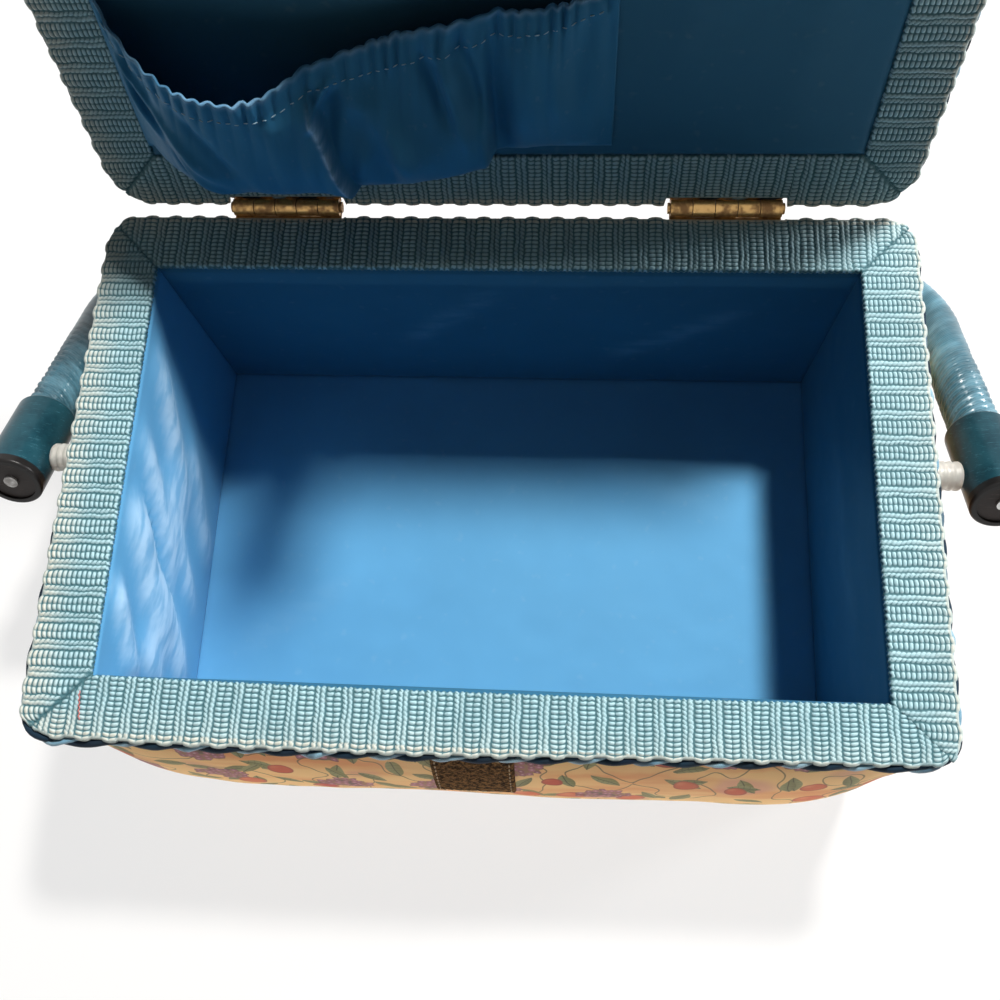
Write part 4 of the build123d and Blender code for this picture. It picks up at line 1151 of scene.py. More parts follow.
def pocket_surface(across, v, gather):
    """Point of the pocket's front sheet: v runs from the bottom seam, 0, to the hem, 1."""
    held = eased_list(POCKET_STATIONS, across)
    path = ((0.0, POCKET_SEAM, 0.2), *zip((0.08, 0.2, 0.42, 0.68, 1.0), held[::2], held[1::2]))
    up, off = eased_list(path, v)
    ends = smooth(across, 0.0, 5.0) * (1 - smooth(across, POCKET_SPAN - 4.0, POCKET_SPAN))
    phase = across / gather + 0.9 * noise.noise(Vector((across * 0.045, v * 1.3, 2.0)))
    hem_zone = smooth(v, 0.80, 0.90)
    uneven = 0.75 + 0.8 * noise.noise(Vector((across * 0.12, 1.0, 5.0)))
    gathers = 2 * abs(math.sin(math.pi * phase)) ** 0.6 - 1.3
    lip = smooth(v, 0.92, 0.985)
    gathers += lip * (-0.75 * math.cos(2 * math.pi * phase) - gathers)
    ruffle = gathers * uneven * (0.10 + 0.3 * smooth(v, 0.55, 0.8) + 0.95 * hem_zone)
    slow = noise.noise(Vector((across * 0.055, v * 2.2, 7.0))) * 2.0
    long_phase = across / (gather * 2.6) + 1.6 * noise.noise(Vector((across * 0.02, v * 0.8, 4.0)))
    long_folds = math.sin(2 * math.pi * long_phase) * 0.55 * smooth(v, 0.1, 0.5) * (1 - 0.7 * hem_zone)
    shaped = sum(fold(across, v * 55, *item) for item in POCKET_FOLDS)
    crease = past_crease(across, v)
    lapped = 4.4 * math.exp(min(crease, 0) / 9) * (1 - smooth(crease, 0.0, 1.3))
    lapped -= 3.0 * smooth(crease, 0.0, 1.3) * math.exp(-max(crease - 1.3, 0) / 13)
    shaped += lapped * smooth(v, 0.04, 0.2) * (1 - smooth(v, 0.76, 0.9))
    swell = ends * (ruffle + slow + long_folds + shaped)
    body = smooth(v, 0.0, 0.06)
    edge_wave = 0.22 * hem_zone * ends * math.sin(2 * math.pi * phase * 0.5 + 1.0)
    return lid_point(across, up + edge_wave, LINING_FACE - off - max(swell * body, 0.3 - off))


POCKET_FOLDS = (
    ((69.0, 49.0), (61.5, 38.0), 1.5, 2.6),
    ((72.0, 46.0), (94.0, 18.0), 4.5, 2.6),
    ((80.0, 36.0), (84.0, 12.0), 4.0, -1.8),
    ((3.0, 46.0), (30.0, 22.0), 2.6, 2.4),
    ((2.0, 36.0), (34.0, 8.0), 2.6, 2.4),
    ((8.0, 36.0), (22.0, 12.0), 2.0, -2.4),
    ((24.0, 44.0), (36.0, 24.0), 2.0, -1.6),
    ((84.0, 44.0), (90.0, 10.0), 3.5, 2.0),
    ((97.0, 50.0), (105.0, 28.0), 2.2, -3.0),
    ((107.0, 52.0), (114.0, 26.0), 2.4, -3.4),
    ((102.0, 48.0), (110.0, 20.0), 2.6, 2.2),
    ((122.0, 48.0), (125.0, 12.0), 2.6, 1.8),
    ((134.0, 46.0), (137.0, 18.0), 2.6, 1.2),
)


# --- settings ---
class TrimSettings(bpy.types.PropertyGroup):
    """Braid and twisted cord."""

    braid_colour: bpy.props.FloatVectorProperty(
        name="Braid", description="Yarn of the braid", subtype="COLOR", default=(0.43, 0.66, 0.74)
    )
    # colour of the painted shade in the braid's grooves
    groove_shade_colour: bpy.props.FloatVectorProperty(
        name="Grooves", description="Braid between its bars", subtype="COLOR", default=(0.050, 0.150, 0.180)
    )
    selvage_colour: bpy.props.FloatVectorProperty(
        name="Selvage", description="Braid's soiled edge", subtype="COLOR", default=(0.66, 0.65, 0.57)
    )
    light_ply: bpy.props.FloatVectorProperty(
        name="Light ply", description="Light ply of the cord", subtype="COLOR", default=(0.13, 0.36, 0.55)
    )
    dark_ply: bpy.props.FloatVectorProperty(
        name="Dark ply", description="Dark ply of the cord", subtype="COLOR", default=(0.012, 0.022, 0.045)
    )
    twist: bpy.props.FloatProperty(
        name="Twist", description="Length of one turn of the cord", default=0.020, min=0.006, unit="LENGTH"
    )


class ClothSettings(bpy.types.PropertyGroup):
    """Satin lining and printed cover."""

    satin_colour: bpy.props.FloatVectorProperty(
        name="Satin", description="Lining and pocket", subtype="COLOR", default=(0.13, 0.40, 0.69)
    )
    ground_colour: bpy.props.FloatVectorProperty(
        name="Ground", description="Ground of the fruit print", subtype="COLOR", default=(0.86, 0.53, 0.22)
    )
    gather: bpy.props.FloatProperty(
        name="Gathers", description="Pitch of the pocket's gathers", default=0.0045, min=0.002, unit="LENGTH"
    )
    stitch: bpy.props.FloatProperty(
        name="Stitches", description="Pitch of the hem's stitches", default=0.0026, min=0.002, unit="LENGTH"
    )


class HandleSettings(bpy.types.PropertyGroup):
    """Wound handle and its fittings."""

    winding: bpy.props.FloatProperty(
        name="Winding", description="Pitch of the winding's bands", default=0.0031, min=0.001, unit="LENGTH"
    )
    starts: bpy.props.IntProperty(
        name="Strands", description="Strands wound side by side", default=8, min=1, max=12
    )
    winding_colour: bpy.props.FloatVectorProperty(
        name="Winding colour", description="Glossy cord", subtype="COLOR", default=(0.026, 0.115, 0.17)
    )
    ferrule_colour: bpy.props.FloatVectorProperty(
        name="Ferrules", description="Moulded end sleeves", subtype="COLOR", default=(0.006, 0.038, 0.056)
    )


class StudioSettings(bpy.types.PropertyGroup):
    """Key lamp, fill, side and low front lamps, and the sky."""

    lamp_power: bpy.props.FloatProperty(
        name="Lamp", description="Power of the small key lamp", default=40.0, min=0.0, unit="POWER"
    )
    fill_power: bpy.props.FloatProperty(
        name="Fill", description="Power of the broad front fill", default=0.3, min=0.0, unit="POWER"
    )
    side_power: bpy.props.FloatProperty(
        name="Side", description="Power of the low lamp at the right", default=16, min=0.0, unit="POWER"
    )
    low_power: bpy.props.FloatProperty(
        name="Low front", description="Power of the narrow front lamp", default=0.22, min=0.0, unit="POWER"
    )
    sky: bpy.props.FloatProperty(
        name="Sky", description="Even light from all round", default=0.04, min=0.0, subtype="FACTOR"
    )


# --- stage ---
CAMERA_LENS = 36.46
CAMERA_PLACE = Vector((25.967, -106.562, 409.93))
CAMERA_AXES = (
    # its right, its up and its back
    (0.99727, 0.04302, -0.06001),
    (-0.02335, 0.95476, 0.29647),
    (0.07005, -0.29426, 0.95316),
)
FLOOR_GLOW = 0.75            # how far the floor is lifted to white where it is looked at


def seen_directly(tree):
    """1 on rays from the camera, a reflection or a clear piece, and 0 on the rest."""
    path = put(tree, "LightPath").outputs
    seen = math_node(tree, "MAXIMUM", path["Is Camera Ray"], path["Is Glossy Ray"])
    return math_node(tree, "MAXIMUM", seen, path["Is Transmission Ray"])


def make_floor():
    """Wide pale floor under the box."""
    bm = bmesh.new()
    bmesh.ops.create_grid(bm, x_segments=1, y_segments=1, size=3.0)
    mesh = bpy.data.meshes.new("studio_floor")
    bm.to_mesh(mesh)
    bm.free()
    floor = bpy.data.objects.new("studio_floor", mesh)
    bpy.context.scene.collection.objects.link(floor)
    pale, tree, surface = material("studio_floor", Roughness=0.9)
    surface.inputs["Base Color"].default_value = (0.9, 0.9, 0.9, 1)
    glow = put(tree, "Emission", {"Color": (1, 1, 1, 1), "Strength": 1.0})
    share = times(tree, seen_directly(tree), FLOOR_GLOW)
    blend = put(tree, "MixShader", {0: share, 1: surface.outputs[0], 2: glow.outputs[0]})
    tree.links.new(blend.outputs[0], tree.nodes["Material Output"].inputs["Surface"])
    mesh.materials.append(pale)


def make_sky(strength):
    """Weak warm light from all round, white where it is looked at."""
    world = bpy.data.worlds.new("studio")
    bpy.context.scene.world = world
    world.use_nodes = True
    tree = world.node_tree
    sky = tree.nodes["Background"]
    sky.inputs["Color"].default_value = (1.0, 0.90, 0.72, 1)
    sky.inputs["Strength"].default_value = strength
    white = put(tree, "Background", {"Color": (1, 1, 1, 1), "Strength": 1.0})
    both = put(tree, "MixShader", {0: seen_directly(tree), 1: sky.outputs[0], 2: white.outputs[0]})
    tree.links.new(both.outputs[0], tree.nodes["World Output"].inputs["Surface"])


def make_lamp(name, power, size, place, target, spread=180, colour=(1, 1, 1)):
    """Area lamp that faces a target; lengths in metres and the spread in degrees."""
    lamp = bpy.data.lights.new(name, "AREA")
    lamp.energy = power
    lamp.shape = "RECTANGLE"
    lamp.size, lamp.size_y = size
    lamp.color = colour
    lamp.spread = math.radians(spread)
    stand = bpy.data.objects.new(name, lamp)
    bpy.context.scene.collection.objects.link(stand)
    stand.location = place
    towards = Vector(place) - Vector(target)
    stand.rotation_euler = towards.to_track_quat("Z", "Y").to_euler()


def make_camera():
    """Camera over the front of the box, looking down into it."""
    camera = bpy.data.objects.new("camera", bpy.data.cameras.new("camera"))
    bpy.context.scene.collection.objects.link(camera)
    camera.data.lens = CAMERA_LENS
    camera.data.sensor_width = 36.0
    camera.data.clip_start = 0.01
    turn = Matrix(CAMERA_AXES).transposed()
    camera.matrix_world = Matrix.Translation(CAMERA_PLACE * MM) @ turn.to_4x4()
    bpy.context.scene.camera = camera


class SEWINGBOX_OT_stage(bpy.types.Operator):
    """Set up the floor, the lamps and the camera"""

    bl_idname = "sewing_box.stage"
    bl_label = "Stage"

    def execute(self, context):
        studio = context.scene.sewing_studio
        context.scene.view_settings.view_transform = "Standard"
        make_floor()
        make_sky(studio.sky)
        middle = (0, 0, 0.1)
        warm = (1.0, 0.97, 0.92)
        make_lamp("key_lamp", studio.lamp_power, (0.16, 0.16), (0.43, 0.73, 1.54), middle, colour=warm)
        make_lamp("front_fill", studio.fill_power, (1.2, 1.2), (-1.1, -1.3, 1.2), middle)
        left_wall = (-0.12, -0.02, 0.05)
        make_lamp("side_lamp", studio.side_power, (0.26, 0.26), (1.5, 0.565, 0.57), left_wall)
        front_wall = (0.0, -0.11, 0.02)
        make_lamp("low_front_lamp", studio.low_power, (0.9, 0.03), (0.0, -0.9, 0.16), front_wall, 14)
        make_camera()
        return {"FINISHED"}


class SEWINGBOX_OT_finishes(bpy.types.Operator):
    """Make the finishes and put them on the boards, hinges, screws and sleeves"""

    bl_idname = "sewing_box.finishes"
    bl_label = "Finishes"

    def execute(self, context):
        trim = context.scene.sewing_trim
        cloth = context.scene.sewing_cloth
        handle = context.scene.sewing_handle
        FINISHES.update(
            gimp_braid=braid_material(trim),
            blue_satin=satin_material("blue_satin", cloth.satin_colour[:]),
            # a darker copy of the same satin, with painted shade, for the walls other than the left one and for
            # the lid's lining
            deep_blue_satin=satin_material("deep_blue_satin", (0.042, 0.165, 0.28)),
            # a darker copy again, with painted shade, for the pocket
            pocket_blue_satin=satin_material("pocket_blue_satin", (0.04, 0.205, 0.39)),
            printed_cotton=printed_cotton_material(cloth),
            cord_light=cord_material("cord_light", trim.light_ply[:], (0.50, 0.72, 0.82), 1.0),
            cord_dark=cord_material("cord_dark", trim.dark_ply[:], (0.025, 0.045, 0.06), 0.0),
            handle_cord=wrapping_material(handle),
            teal_plastic=hard_plastic_material(
                "teal_plastic", handle.ferrule_colour[:], (0.03, 0.13, 0.17), 0.3, tail=0.0095
            ),
            dark_plastic=hard_plastic_material(
                "dark_plastic", (0.018, 0.013, 0.012), (0.06, 0.045, 0.04), 0.45
            ),
            clear_plastic=clear_plastic_material(),
            brass=metal_material("brass", (0.50, 0.31, 0.12), (0.20, 0.105, 0.04), 0.34),
            steel=metal_material("steel", (0.55, 0.55, 0.54), (0.25, 0.24, 0.23), 0.35),
            wood_board=board_material(),
            base_cloth=base_cloth_material(),
            loop_tape=loop_tape_material(),
            stitches=thread_material("stitches", (0.40, 0.62, 0.74)),
            tan_thread=thread_material("tan_thread", (0.52, 0.36, 0.2)),
            red_thread=thread_material("red_thread", (0.72, 0.20, 0.19)),
            wadding=wadding_material(),
        )
        FINISHES["elastic_web"] = FINISHES["wadding"]
        FINISHES["twisted_cord"] = FINISHES["cord_dark"]
        for part in frame["record"]["subparts"]:
            node = NODES.get(part["node"])
            if node is None:
                raise RuntimeError(f"the frame has no node {part['node']}")
            node.data.materials.clear()
            node.data.materials.append(FINISHES[part["material_slot"]])
        return {"FINISHED"}


class SEWINGBOX_OT_braid(bpy.types.Operator):
    """Lay the mitred braid on the rim and round the lid's lining"""

    bl_idname = "sewing_box.braid"
    bl_label = "Braid"

    def execute(self, context):
        for ring in BRAID_RINGS:
            braid_ring(ring)
        return {"FINISHED"}


class SEWINGBOX_OT_cords(bpy.types.Operator):
    """Wind the twisted cords under the edges of the braid"""

    bl_idname = "sewing_box.cords"
    bl_label = "Twisted cords"

    def execute(self, context):
        twist = context.scene.sewing_trim.twist
        rim, lid = BRAID_RINGS
        cord_pair(rim, COVER_HALF[0] + 2.2, COVER_HALF[1] + 1.6, RIM_CORNER + 0.5, -1.7, twist)
        cord_pair(lid, LID_SIZE[0] / 2 - 0.6, LID_SIZE[1] / 2 - 1.2, LID_CORNER - 0.6, -1.5, twist)
        return {"FINISHED"}


# --- covers ---
COVER_FLANGE = 5.0           # the cover's inner edge, in from its outer face
CROWN_INSET = 62.0           # from the lid cover's edge in to the crown's flat middle
CROWN_RISE = 19.3
OVER_LEAF = 3.35             # the lid cover clears the hinge leaves at this height over the pins


class SEWINGBOX_OT_body_cover(bpy.types.Operator):
    """Stretch the printed cover over the padding of the four walls"""

    bl_idname = "sewing_box.body_cover"
    bl_label = "Body cover"

    def execute(self, context):
        columns, rows_out = 320, 40
        loop = rows_out + 8
        length = COVER_LENGTH
        over_top = ((-0.5, WALL_TOP - 0.35), (-2.5, WALL_TOP - 0.1), (-COVER_FLANGE, WALL_TOP - 0.1))

        def section(step):
            """How far out and how high: up the wall's outside, over its top and down inside."""
            if step <= rows_out:
                share = step / rows_out
                share = 0.5 * share + 0.5 * (0.5 - 0.5 * math.cos(math.pi * share))
                return 0.0, COVER_LOW.z + (SWELL_TOP + 1.0 - COVER_LOW.z) * share
            if step <= rows_out + len(over_top):
                return over_top[step - rows_out - 1]
            left = max(loop - 1 - step, 0) / 4
            return -COVER_FLANGE, COVER_LOW.z + (WALL_TOP - 0.1 - COVER_LOW.z) * left

        def place(u, v):
            distance, step = u * length, round(v * loop)
            if step == loop:
                step = 0
            out, height = section(step)
            if out < 0:
                return wall_surface(distance, COVER_LOW.z, out) + Vector((0, 0, height - COVER_LOW.z))
            share = (height - COVER_LOW.z) / (SWELL_TOP - COVER_LOW.z)
            edges = (1 - smooth(share, 0.0, 0.3)) + smooth(share, 0.7, 1.0)
            angle = 2 * math.pi * distance / length
            where = Vector((math.cos(angle) * 140, math.sin(angle) * 140, height))
            pucker = 0.35 * math.sin(2 * math.pi * distance / 8.1 + 2.5 * noise.noise(where * 0.03))
            soft = 0.9 * noise.noise(where * 0.028) * math.sin(math.pi * min(max(share, 0), 1))
            fine = 0.25 * noise.noise(where * 0.09)
            ends = smooth(share, 0.0, 0.08) * (1 - smooth(share, 0.94, 1.0))
            return wall_surface(distance, height, ends * (pucker * edges * 0.8 + soft + fine))

        def uv(u, v):
            out, height = section(min(round(v * loop), loop - 1))
            return u * length * MM, (height + out) * MM

        bm = cloth_grid(columns, loop, place, uv=uv)
        weld(bm)
        stood_for = ("body_cover", "front_padding", "back_padding", "left_padding", "right_padding")
        piece = add_piece(bm, "body_cover_cloth", "printed_cotton", "box", stood_for)
        return {"FINISHED"}


class SEWINGBOX_OT_lid_cover(bpy.types.Operator):
    """Stretch the printed cover over the lid's padded crown"""

    bl_idname = "sewing_box.lid_cover"
    bl_label = "Lid cover"

    def execute(self, context):
        half_x, half_y = LID_SIZE[0] / 2 - COVER_INSET, LID_SIZE[1] / 2 - COVER_INSET
        seat = LID_SEAT + LID_BOARD
        columns, rings = 300, 44
        total = rings + 3
        length, _ = rounded_outline(half_x, half_y, LID_COVER_CORNER)

        def ring(step):
            """Inset, height over the pins and whether the cloth shows."""
            if step == 0:
                return 0.8, LID_SEAT, 0
            if step == 1:
                return 0.0, LID_SEAT, 0
            if step == 2:
                return 0.0, LID_SEAT + 2.2, 1
            if step <= rings:
                share = (step - 2) / (rings - 2)
                inset = half_y * (0.25 * share + 0.75 * share**2.2)
                part = min(inset / CROWN_INSET, 1.0)
                dome = CROWN_RISE * math.sqrt(1 - (1 - part) ** 2)
                dome += 0.5 * smooth(inset, 40, half_y) - 1.6 * (1 - smooth(share, 0.0, 0.1))
                return inset, seat + dome, 1
            return (0.8 + (half_y - 0.8) * (step - rings - 1) / 2), seat, 0

        def place(u, v):
            step = round(v * total)
            if step > rings:
                step = 2 * rings + 4 - step
            inset, height, shown = ring(step)
            corner = min(LID_COVER_CORNER + 16 * min(inset / CROWN_INSET, 1.0), half_y - inset)
            corner = max(corner, 0.0)
            _, at = rounded_outline(half_x - inset, half_y - inset, corner)
            point, _ = at(match(u, inset, corner))
            where = Vector((point.x * 0.03, point.y * 0.03, 3.0))
            if shown:
                bump_up = 0.7 * noise.noise(where) + 0.25 * noise.noise(where * 4)
                pleat = 0.35 * math.sin(2 * math.pi * u * length / 8.3 + 2 * noise.noise(where * 2))
                pleat *= (1 - smooth(inset, 2.0, 26.0)) * smooth(inset, 0.0, 3.0)
                height += (bump_up * smooth(inset, 1.0, 20.0)) + pleat
            if point.y < 10 - half_y and abs(abs(point.x) - HINGE_X) < HINGE_ROOM + 0.25:
                height = max(height, OVER_LEAF)
            return LID_FLAT @ Vector((point.x, point.y, height))

        def match(u, inset, corner):
            """Distance on an inner ring that lies straight inside a place on the outer one."""
            flat_x, flat_y = half_x - LID_COVER_CORNER, half_y - LID_COVER_CORNER
            arc = LID_COVER_CORNER * math.pi / 2
            distance = u * length
            inner_x, inner_y = half_x - inset - corner, half_y - inset - corner
            inner_arc = corner * math.pi / 2
            start = 0.0
            for flat, inner in ((flat_x, inner_x), (flat_y, inner_y)) * 2:
                if distance <= 2 * flat:
                    return start + distance / (2 * flat) * 2 * inner
                distance -= 2 * flat
                start += 2 * inner
                if distance <= arc:
                    return start + distance / arc * inner_arc
                distance -= arc
                start += inner_arc
            return start

        def uv(u, v):
            point = LID_FLAT.inverted() @ place(u, v)
            return point.x * MM, point.y * MM

        bm = cloth_grid(columns, total, place, uv=uv)
        weld(bm, 0.02)
        stood_for = ("lid_cover", "lid_padding")
        piece = add_piece(bm, "lid_cover_cloth", "printed_cotton", "lid", stood_for)
        return {"FINISHED"}


# --- linings: each fold is its start, its end, its width and its height ---
FLOOR_FOLDS = (
    ((10.0, 20.0), (70.0, 60.0), 9.0, 0.7),
    ((150.0, 110.0), (225.0, 80.0), 10.0, 0.6),
)
WALL_FOLDS = {
    "left": (
        ((30.0, 84.0), (80.0, 36.0), 7.0, 3.2),
        ((60.0, 86.0), (104.0, 40.0), 6.0, 2.8),
        ((84.0, 84.0), (134.0, 40.0), 8.0, 4.2),
        ((70.0, 62.0), (112.0, 16.0), 6.0, 2.6),
        ((104.0, 56.0), (140.0, 16.0), 7.0, 3.0),
        ((50.0, 44.0), (92.0, 6.0), 7.0, 2.2),
        ((76.0, 80.0), (118.0, 34.0), 2.4, -1.5),
        ((112.0, 88.0), (150.0, 58.0), 5.0, 3.2),
        ((128.0, 62.0), (152.0, 30.0), 5.0, 2.4),
    ),
    "right": (((20.0, 60.0), (110.0, 50.0), 8.0, 0.8),),
    "back": (
        ((30.0, 70.0), (90.0, 20.0), 8.0, 1.0),
        ((120.0, 84.0), (170.0, 30.0), 8.0, 0.9),
    ),
    "front": (((40.0, 60.0), (180.0, 40.0), 10.0, 0.8),),
}
LID_FOLDS = (
    ((170.0, 20.0), (200.0, 120.0), 9.0, 0.5),
    ((206.0, 10.0), (222.0, 90.0), 7.0, 0.4),
)
LINING_LAP = 2.45            # how far a panel runs in behind its neighbours and the braid
WALL_LINING = 2.4            # thickness of a wall panel
FLOOR_EDGE = 1.6             # how far the wall panels reach down past the floor panel's face


def add_lining(bm, side, finish, body):
    """Add a padded lining panel that stands for its own plain one."""
    pad = add_piece(bm, f"{side}_satin", finish, body, (f"{side}_lining",))


class SEWINGBOX_OT_linings(bpy.types.Operator):
    """Line the floor, the walls and the lid with padded satin"""

    bl_idname = "sewing_box.linings"
    bl_label = "Linings"

    def execute(self, context):
        inner_x, inner_y = RIM_HIGH.x - RIM_BRAID, RIM_HIGH.y - RIM_BRAID
        tall = WALL_TOP - 0.05 - FLOOR_HIGH.z
        far_x, far_y = inner_x + LINING_LAP, inner_y + LINING_LAP

        def on_floor(x, y, z):
            return Vector((x - far_x, y - far_y, FLOOR_LOW.z + z * 1.15))

        bm = lined_pad((2 * far_x, 2 * far_y), on_floor, 3.0, 2.45, FLOOR_FOLDS, 1.0, 0.55)
        add_lining(bm, "floor", "blue_satin", "box")

        low = FLOOR_HIGH.z - FLOOR_EDGE
        reach = inner_x + 1.5
        sides = {
            "front": (2 * reach, lambda x, y, z: Vector((x - reach, z - far_y, low + y))),
            "back": (2 * reach, lambda x, y, z: Vector((reach - x, far_y - z, low + y))),
            "left": (2 * far_y, lambda x, y, z: Vector((z - far_x, far_y - x, low + y))),
            "right": (2 * far_y, lambda x, y, z: Vector((far_x - z, x - far_y, low + y))),
        }
        for index, (side, (width, place)) in enumerate(sides.items()):
            size = (width, tall + FLOOR_EDGE)
            bm = lined_pad(size, place, 2.0, WALL_LINING, WALL_FOLDS[side], 11.0 + index, 0.6)
            # the left wall keeps the lit satin; the other walls take the copy with painted shade
            add_lining(bm, side, "blue_satin" if side == "left" else "deep_blue_satin", "box")

        size = (2 * LINING_HIGH.x, LID_SIZE[1] - 2 * LID_BRAID)

        def on_lid(x, y, z):
            return lid_point(x, LID_FROM_PIN + LID_BRAID + y, LID_SEAT - z)

        bm = lined_pad(size, on_lid, 3.0, 1.15, LID_FOLDS, 21.0, 0.25)
        # the lid's lining takes the copy of the satin with painted shade
        add_lining(bm, "lid", "deep_blue_satin", "lid")
        return {"FINISHED"}


class SEWINGBOX_OT_pocket(bpy.types.Operator):
    """Gather the satin pocket on its elastic, and stitch its hem"""

    bl_idname = "sewing_box.pocket"
    bl_label = "Lid pocket"

    def execute(self, context):
        settings = context.scene.sewing_cloth
        gather = settings.gather / MM
        columns, rows = 300, 64

        def place(u, v):
            return pocket_surface(u * POCKET_SPAN, v, gather)

        # the crease's crest and the hem's lip: painted sheen and some wear
        def crest_sheen_and_wear(u, v):
            window = smooth(v, 0.06, 0.3) * (1 - smooth(v, 0.7, 0.86))
            crest = math.exp(-(((past_crease(u * POCKET_SPAN, v) + 0.4) / 0.7) ** 2)) * window
            return min(crest + 0.35 * smooth(v, 0.96, 0.99), 1.0)

        def flat(u, v):
            return u * POCKET_MAP[0], v * POCKET_MAP[1]

        bm = cloth_grid(columns, rows, place, lay=crest_sheen_and_wear, uv=flat)
        bmesh.ops.recalc_face_normals(bm, faces=bm.faces)
        middle = bm.faces[:][len(bm.faces) // 2]
        if middle.normal.dot(LID_OUT) > 0:
            bmesh.ops.reverse_faces(bm, faces=bm.faces)
        bmesh.ops.solidify(bm, geom=bm.faces[:], thickness=0.8)
        weld(bm)
        stood_for = ("lid_pocket", "pocket_elastic")
        # the pocket takes a darker copy of the satin: painted shade
        piece = add_piece(bm, "pocket_satin", "pocket_blue_satin", "lid", stood_for)

        pitch = settings.stitch / MM
        bm = bmesh.new()
        count = int((POCKET_SPAN - 6) / pitch)
        for index in range(count):
            across = 3 + index * pitch
            start = pocket_surface(across, HEM_STITCHES, gather) - LID_OUT * 0.22
            end = pocket_surface(across + pitch * 0.62, HEM_STITCHES, gather) - LID_OUT * 0.22
            add_stitch(bm, start, end, 0.2, -LID_OUT)
        stitches = add_piece(bm, "pocket_stitches", "stitches", "lid")
        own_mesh(piece)
        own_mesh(stitches)
        return {"FINISHED"}


def add_stitch(bm, start, end, radius, out):
    """One raised stitch: a short thread that dips at both ends."""
    made = bmesh.ops.create_icosphere(bm, subdivisions=1, radius=1.0)["verts"]
    along = end - start
    side = along.cross(out).normalized()
    away = side.cross(along).normalized()
    middle = (start + end) / 2
    for vert in made:
        x, y, z = vert.co
        vert.co = middle + along * (0.5 * x) + side * (y * radius) + away * (z * radius)


# --- closure ---
TAPE_THICK = 1.4
TAB_WIDE = 28.0
TAB_THICK = 1.5
HOOK_SIZE = (26.0, 27.0)
HOOK_THICK = 1.2
HOOK_FROM = -8.2             # the hook tape starts where the tab's line is this low
LINE_STEP = 0.3              # over which the tab's line is read for its direction
PATCH_STITCH = (2.6, 1.7)    # pitch and length of a stitch round the patch
RED_STITCHES = Vector((-123.4, -76.2, RIM_HIGH.z - 0.05))


def tab_line():
    """The tab's line: distance along it, and its two ordinates in the lid's section."""
    points = (
        (-182.55, 1.25),
        (-186.6, 1.1),
        (-188.7, -1.2),
        (-188.9, -5.4),
        (-189.6, -9.5),
        (-194.0, -21.5),
        (-197.3, -35.0),
        (-197.8, -38.0),
    )
    line, distance = [], 0.0
    for index, point in enumerate(points):
        if index:
            distance += math.dist(point, points[index - 1])
        line.append((distance, *point))
    return tuple(line)


TAB_LINE = tab_line()


def tab_point(place, before, after, off, across):
    """Point off the tab's line, square to its direction between two other places along it."""
    a, b = eased_list(TAB_LINE, place)
    a1, b1 = eased_list(TAB_LINE, before)
    a2, b2 = eased_list(TAB_LINE, after)
    out = Vector((b2 - b1, a1 - a2)).normalized() * off
    return PIN - LID_UP * (a + out.x) + LID_OUT * (b + out.y) + Vector((across, 0, 0))


class SEWINGBOX_OT_closure(bpy.types.Operator):
    """Make the hook and loop closure: patch on the wall, tab on the lid"""

    bl_idname = "sewing_box.closure"
    bl_label = "Closure"

    def execute(self, context):
        low, high = (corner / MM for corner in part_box("closure_patch"))
        width, height = high.x - low.x, high.z - low.z

        def on_wall(x, y, off):
            ripple = 0.12 * noise.noise(Vector((x * 0.5, y * 0.5, 1.0)))
            out = TAPE_THICK / 2 + 0.1 + off + ripple
            return wall_surface(front_distance(low.x + x), low.z + y, out)

        bm = pad_slab(36, 36, (width, height), on_wall, 0.6, TAPE_THICK / 2)
        patch = add_piece(bm, "closure_loop_patch", "loop_tape", "box", ("closure_patch",))

        bm = bmesh.new()
        pitch, stitch = PATCH_STITCH
        for row in range(4):
            flat_way = row % 2 == 0
            span = width if flat_way else height
            for index in range(int((span - 3.2) / pitch)):
                at = 1.8 + index * pitch
                far = 1.5 if row < 2 else (height if flat_way else width) - 1.5
                ends = [(at, far), (at + stitch, far)] if flat_way else [(far, at), (far, at + stitch)]
                out = TAPE_THICK + 0.2
                points = [wall_surface(front_distance(low.x + x), low.z + y, out) for x, y in ends]
                add_stitch(bm, points[0], points[1], 0.28, Vector((0, -1, 0)))
        add_piece(bm, "patch_stitches", "tan_thread", "box")

        bm = bmesh.new()
        for index in range(11):
            start = RED_STITCHES + Vector((0.11, -0.8, 0)) * index
            add_stitch(bm, start, start + Vector((0.3 * (-1) ** index, -1.2, 0)), 0.2, Vector((0, 0, 1)))
        add_piece(bm, "red_mending_thread", "red_thread", "box")

        tab_long = TAB_LINE[-1][0]
        tab_low = low.x + width / 2 - TAB_WIDE / 2

        def on_tab(x, y, off):
            before, after = max(y - LINE_STEP, 0.0), min(y + LINE_STEP, tab_long)
            return tab_point(y, before, after, off, tab_low + x)

        def on_print(x, y):
            return x + 0.31, y + 0.12

        bm = pad_slab(30, 60, (TAB_WIDE, tab_long), on_tab, 1.0, TAB_THICK / 2, uv=on_print)
        stood_for = ("closure_tab",)
        tab = add_piece(bm, "closure_tab_cloth", "printed_cotton", "closure_tab", stood_for)

        hook_start = next(y for y in range(200) if eased_list(TAB_LINE, y / 4)[1] < HOOK_FROM) / 4
        hook_off = TAB_THICK / 2 + 0.1 + HOOK_THICK / 2
        hook_low = tab_low + (TAB_WIDE - HOOK_SIZE[0]) / 2

        def on_hook(x, y, off):
            at = hook_start + y
            return tab_point(at, at, at + LINE_STEP, off - hook_off, hook_low + x)

        bm = pad_slab(26, 26, HOOK_SIZE, on_hook, 0.5, HOOK_THICK / 2)
        hook = add_piece(bm, "tab_hook_tape", "loop_tape", "closure_tab", ("tab_hook_patch",))
        return {"FINISHED"}


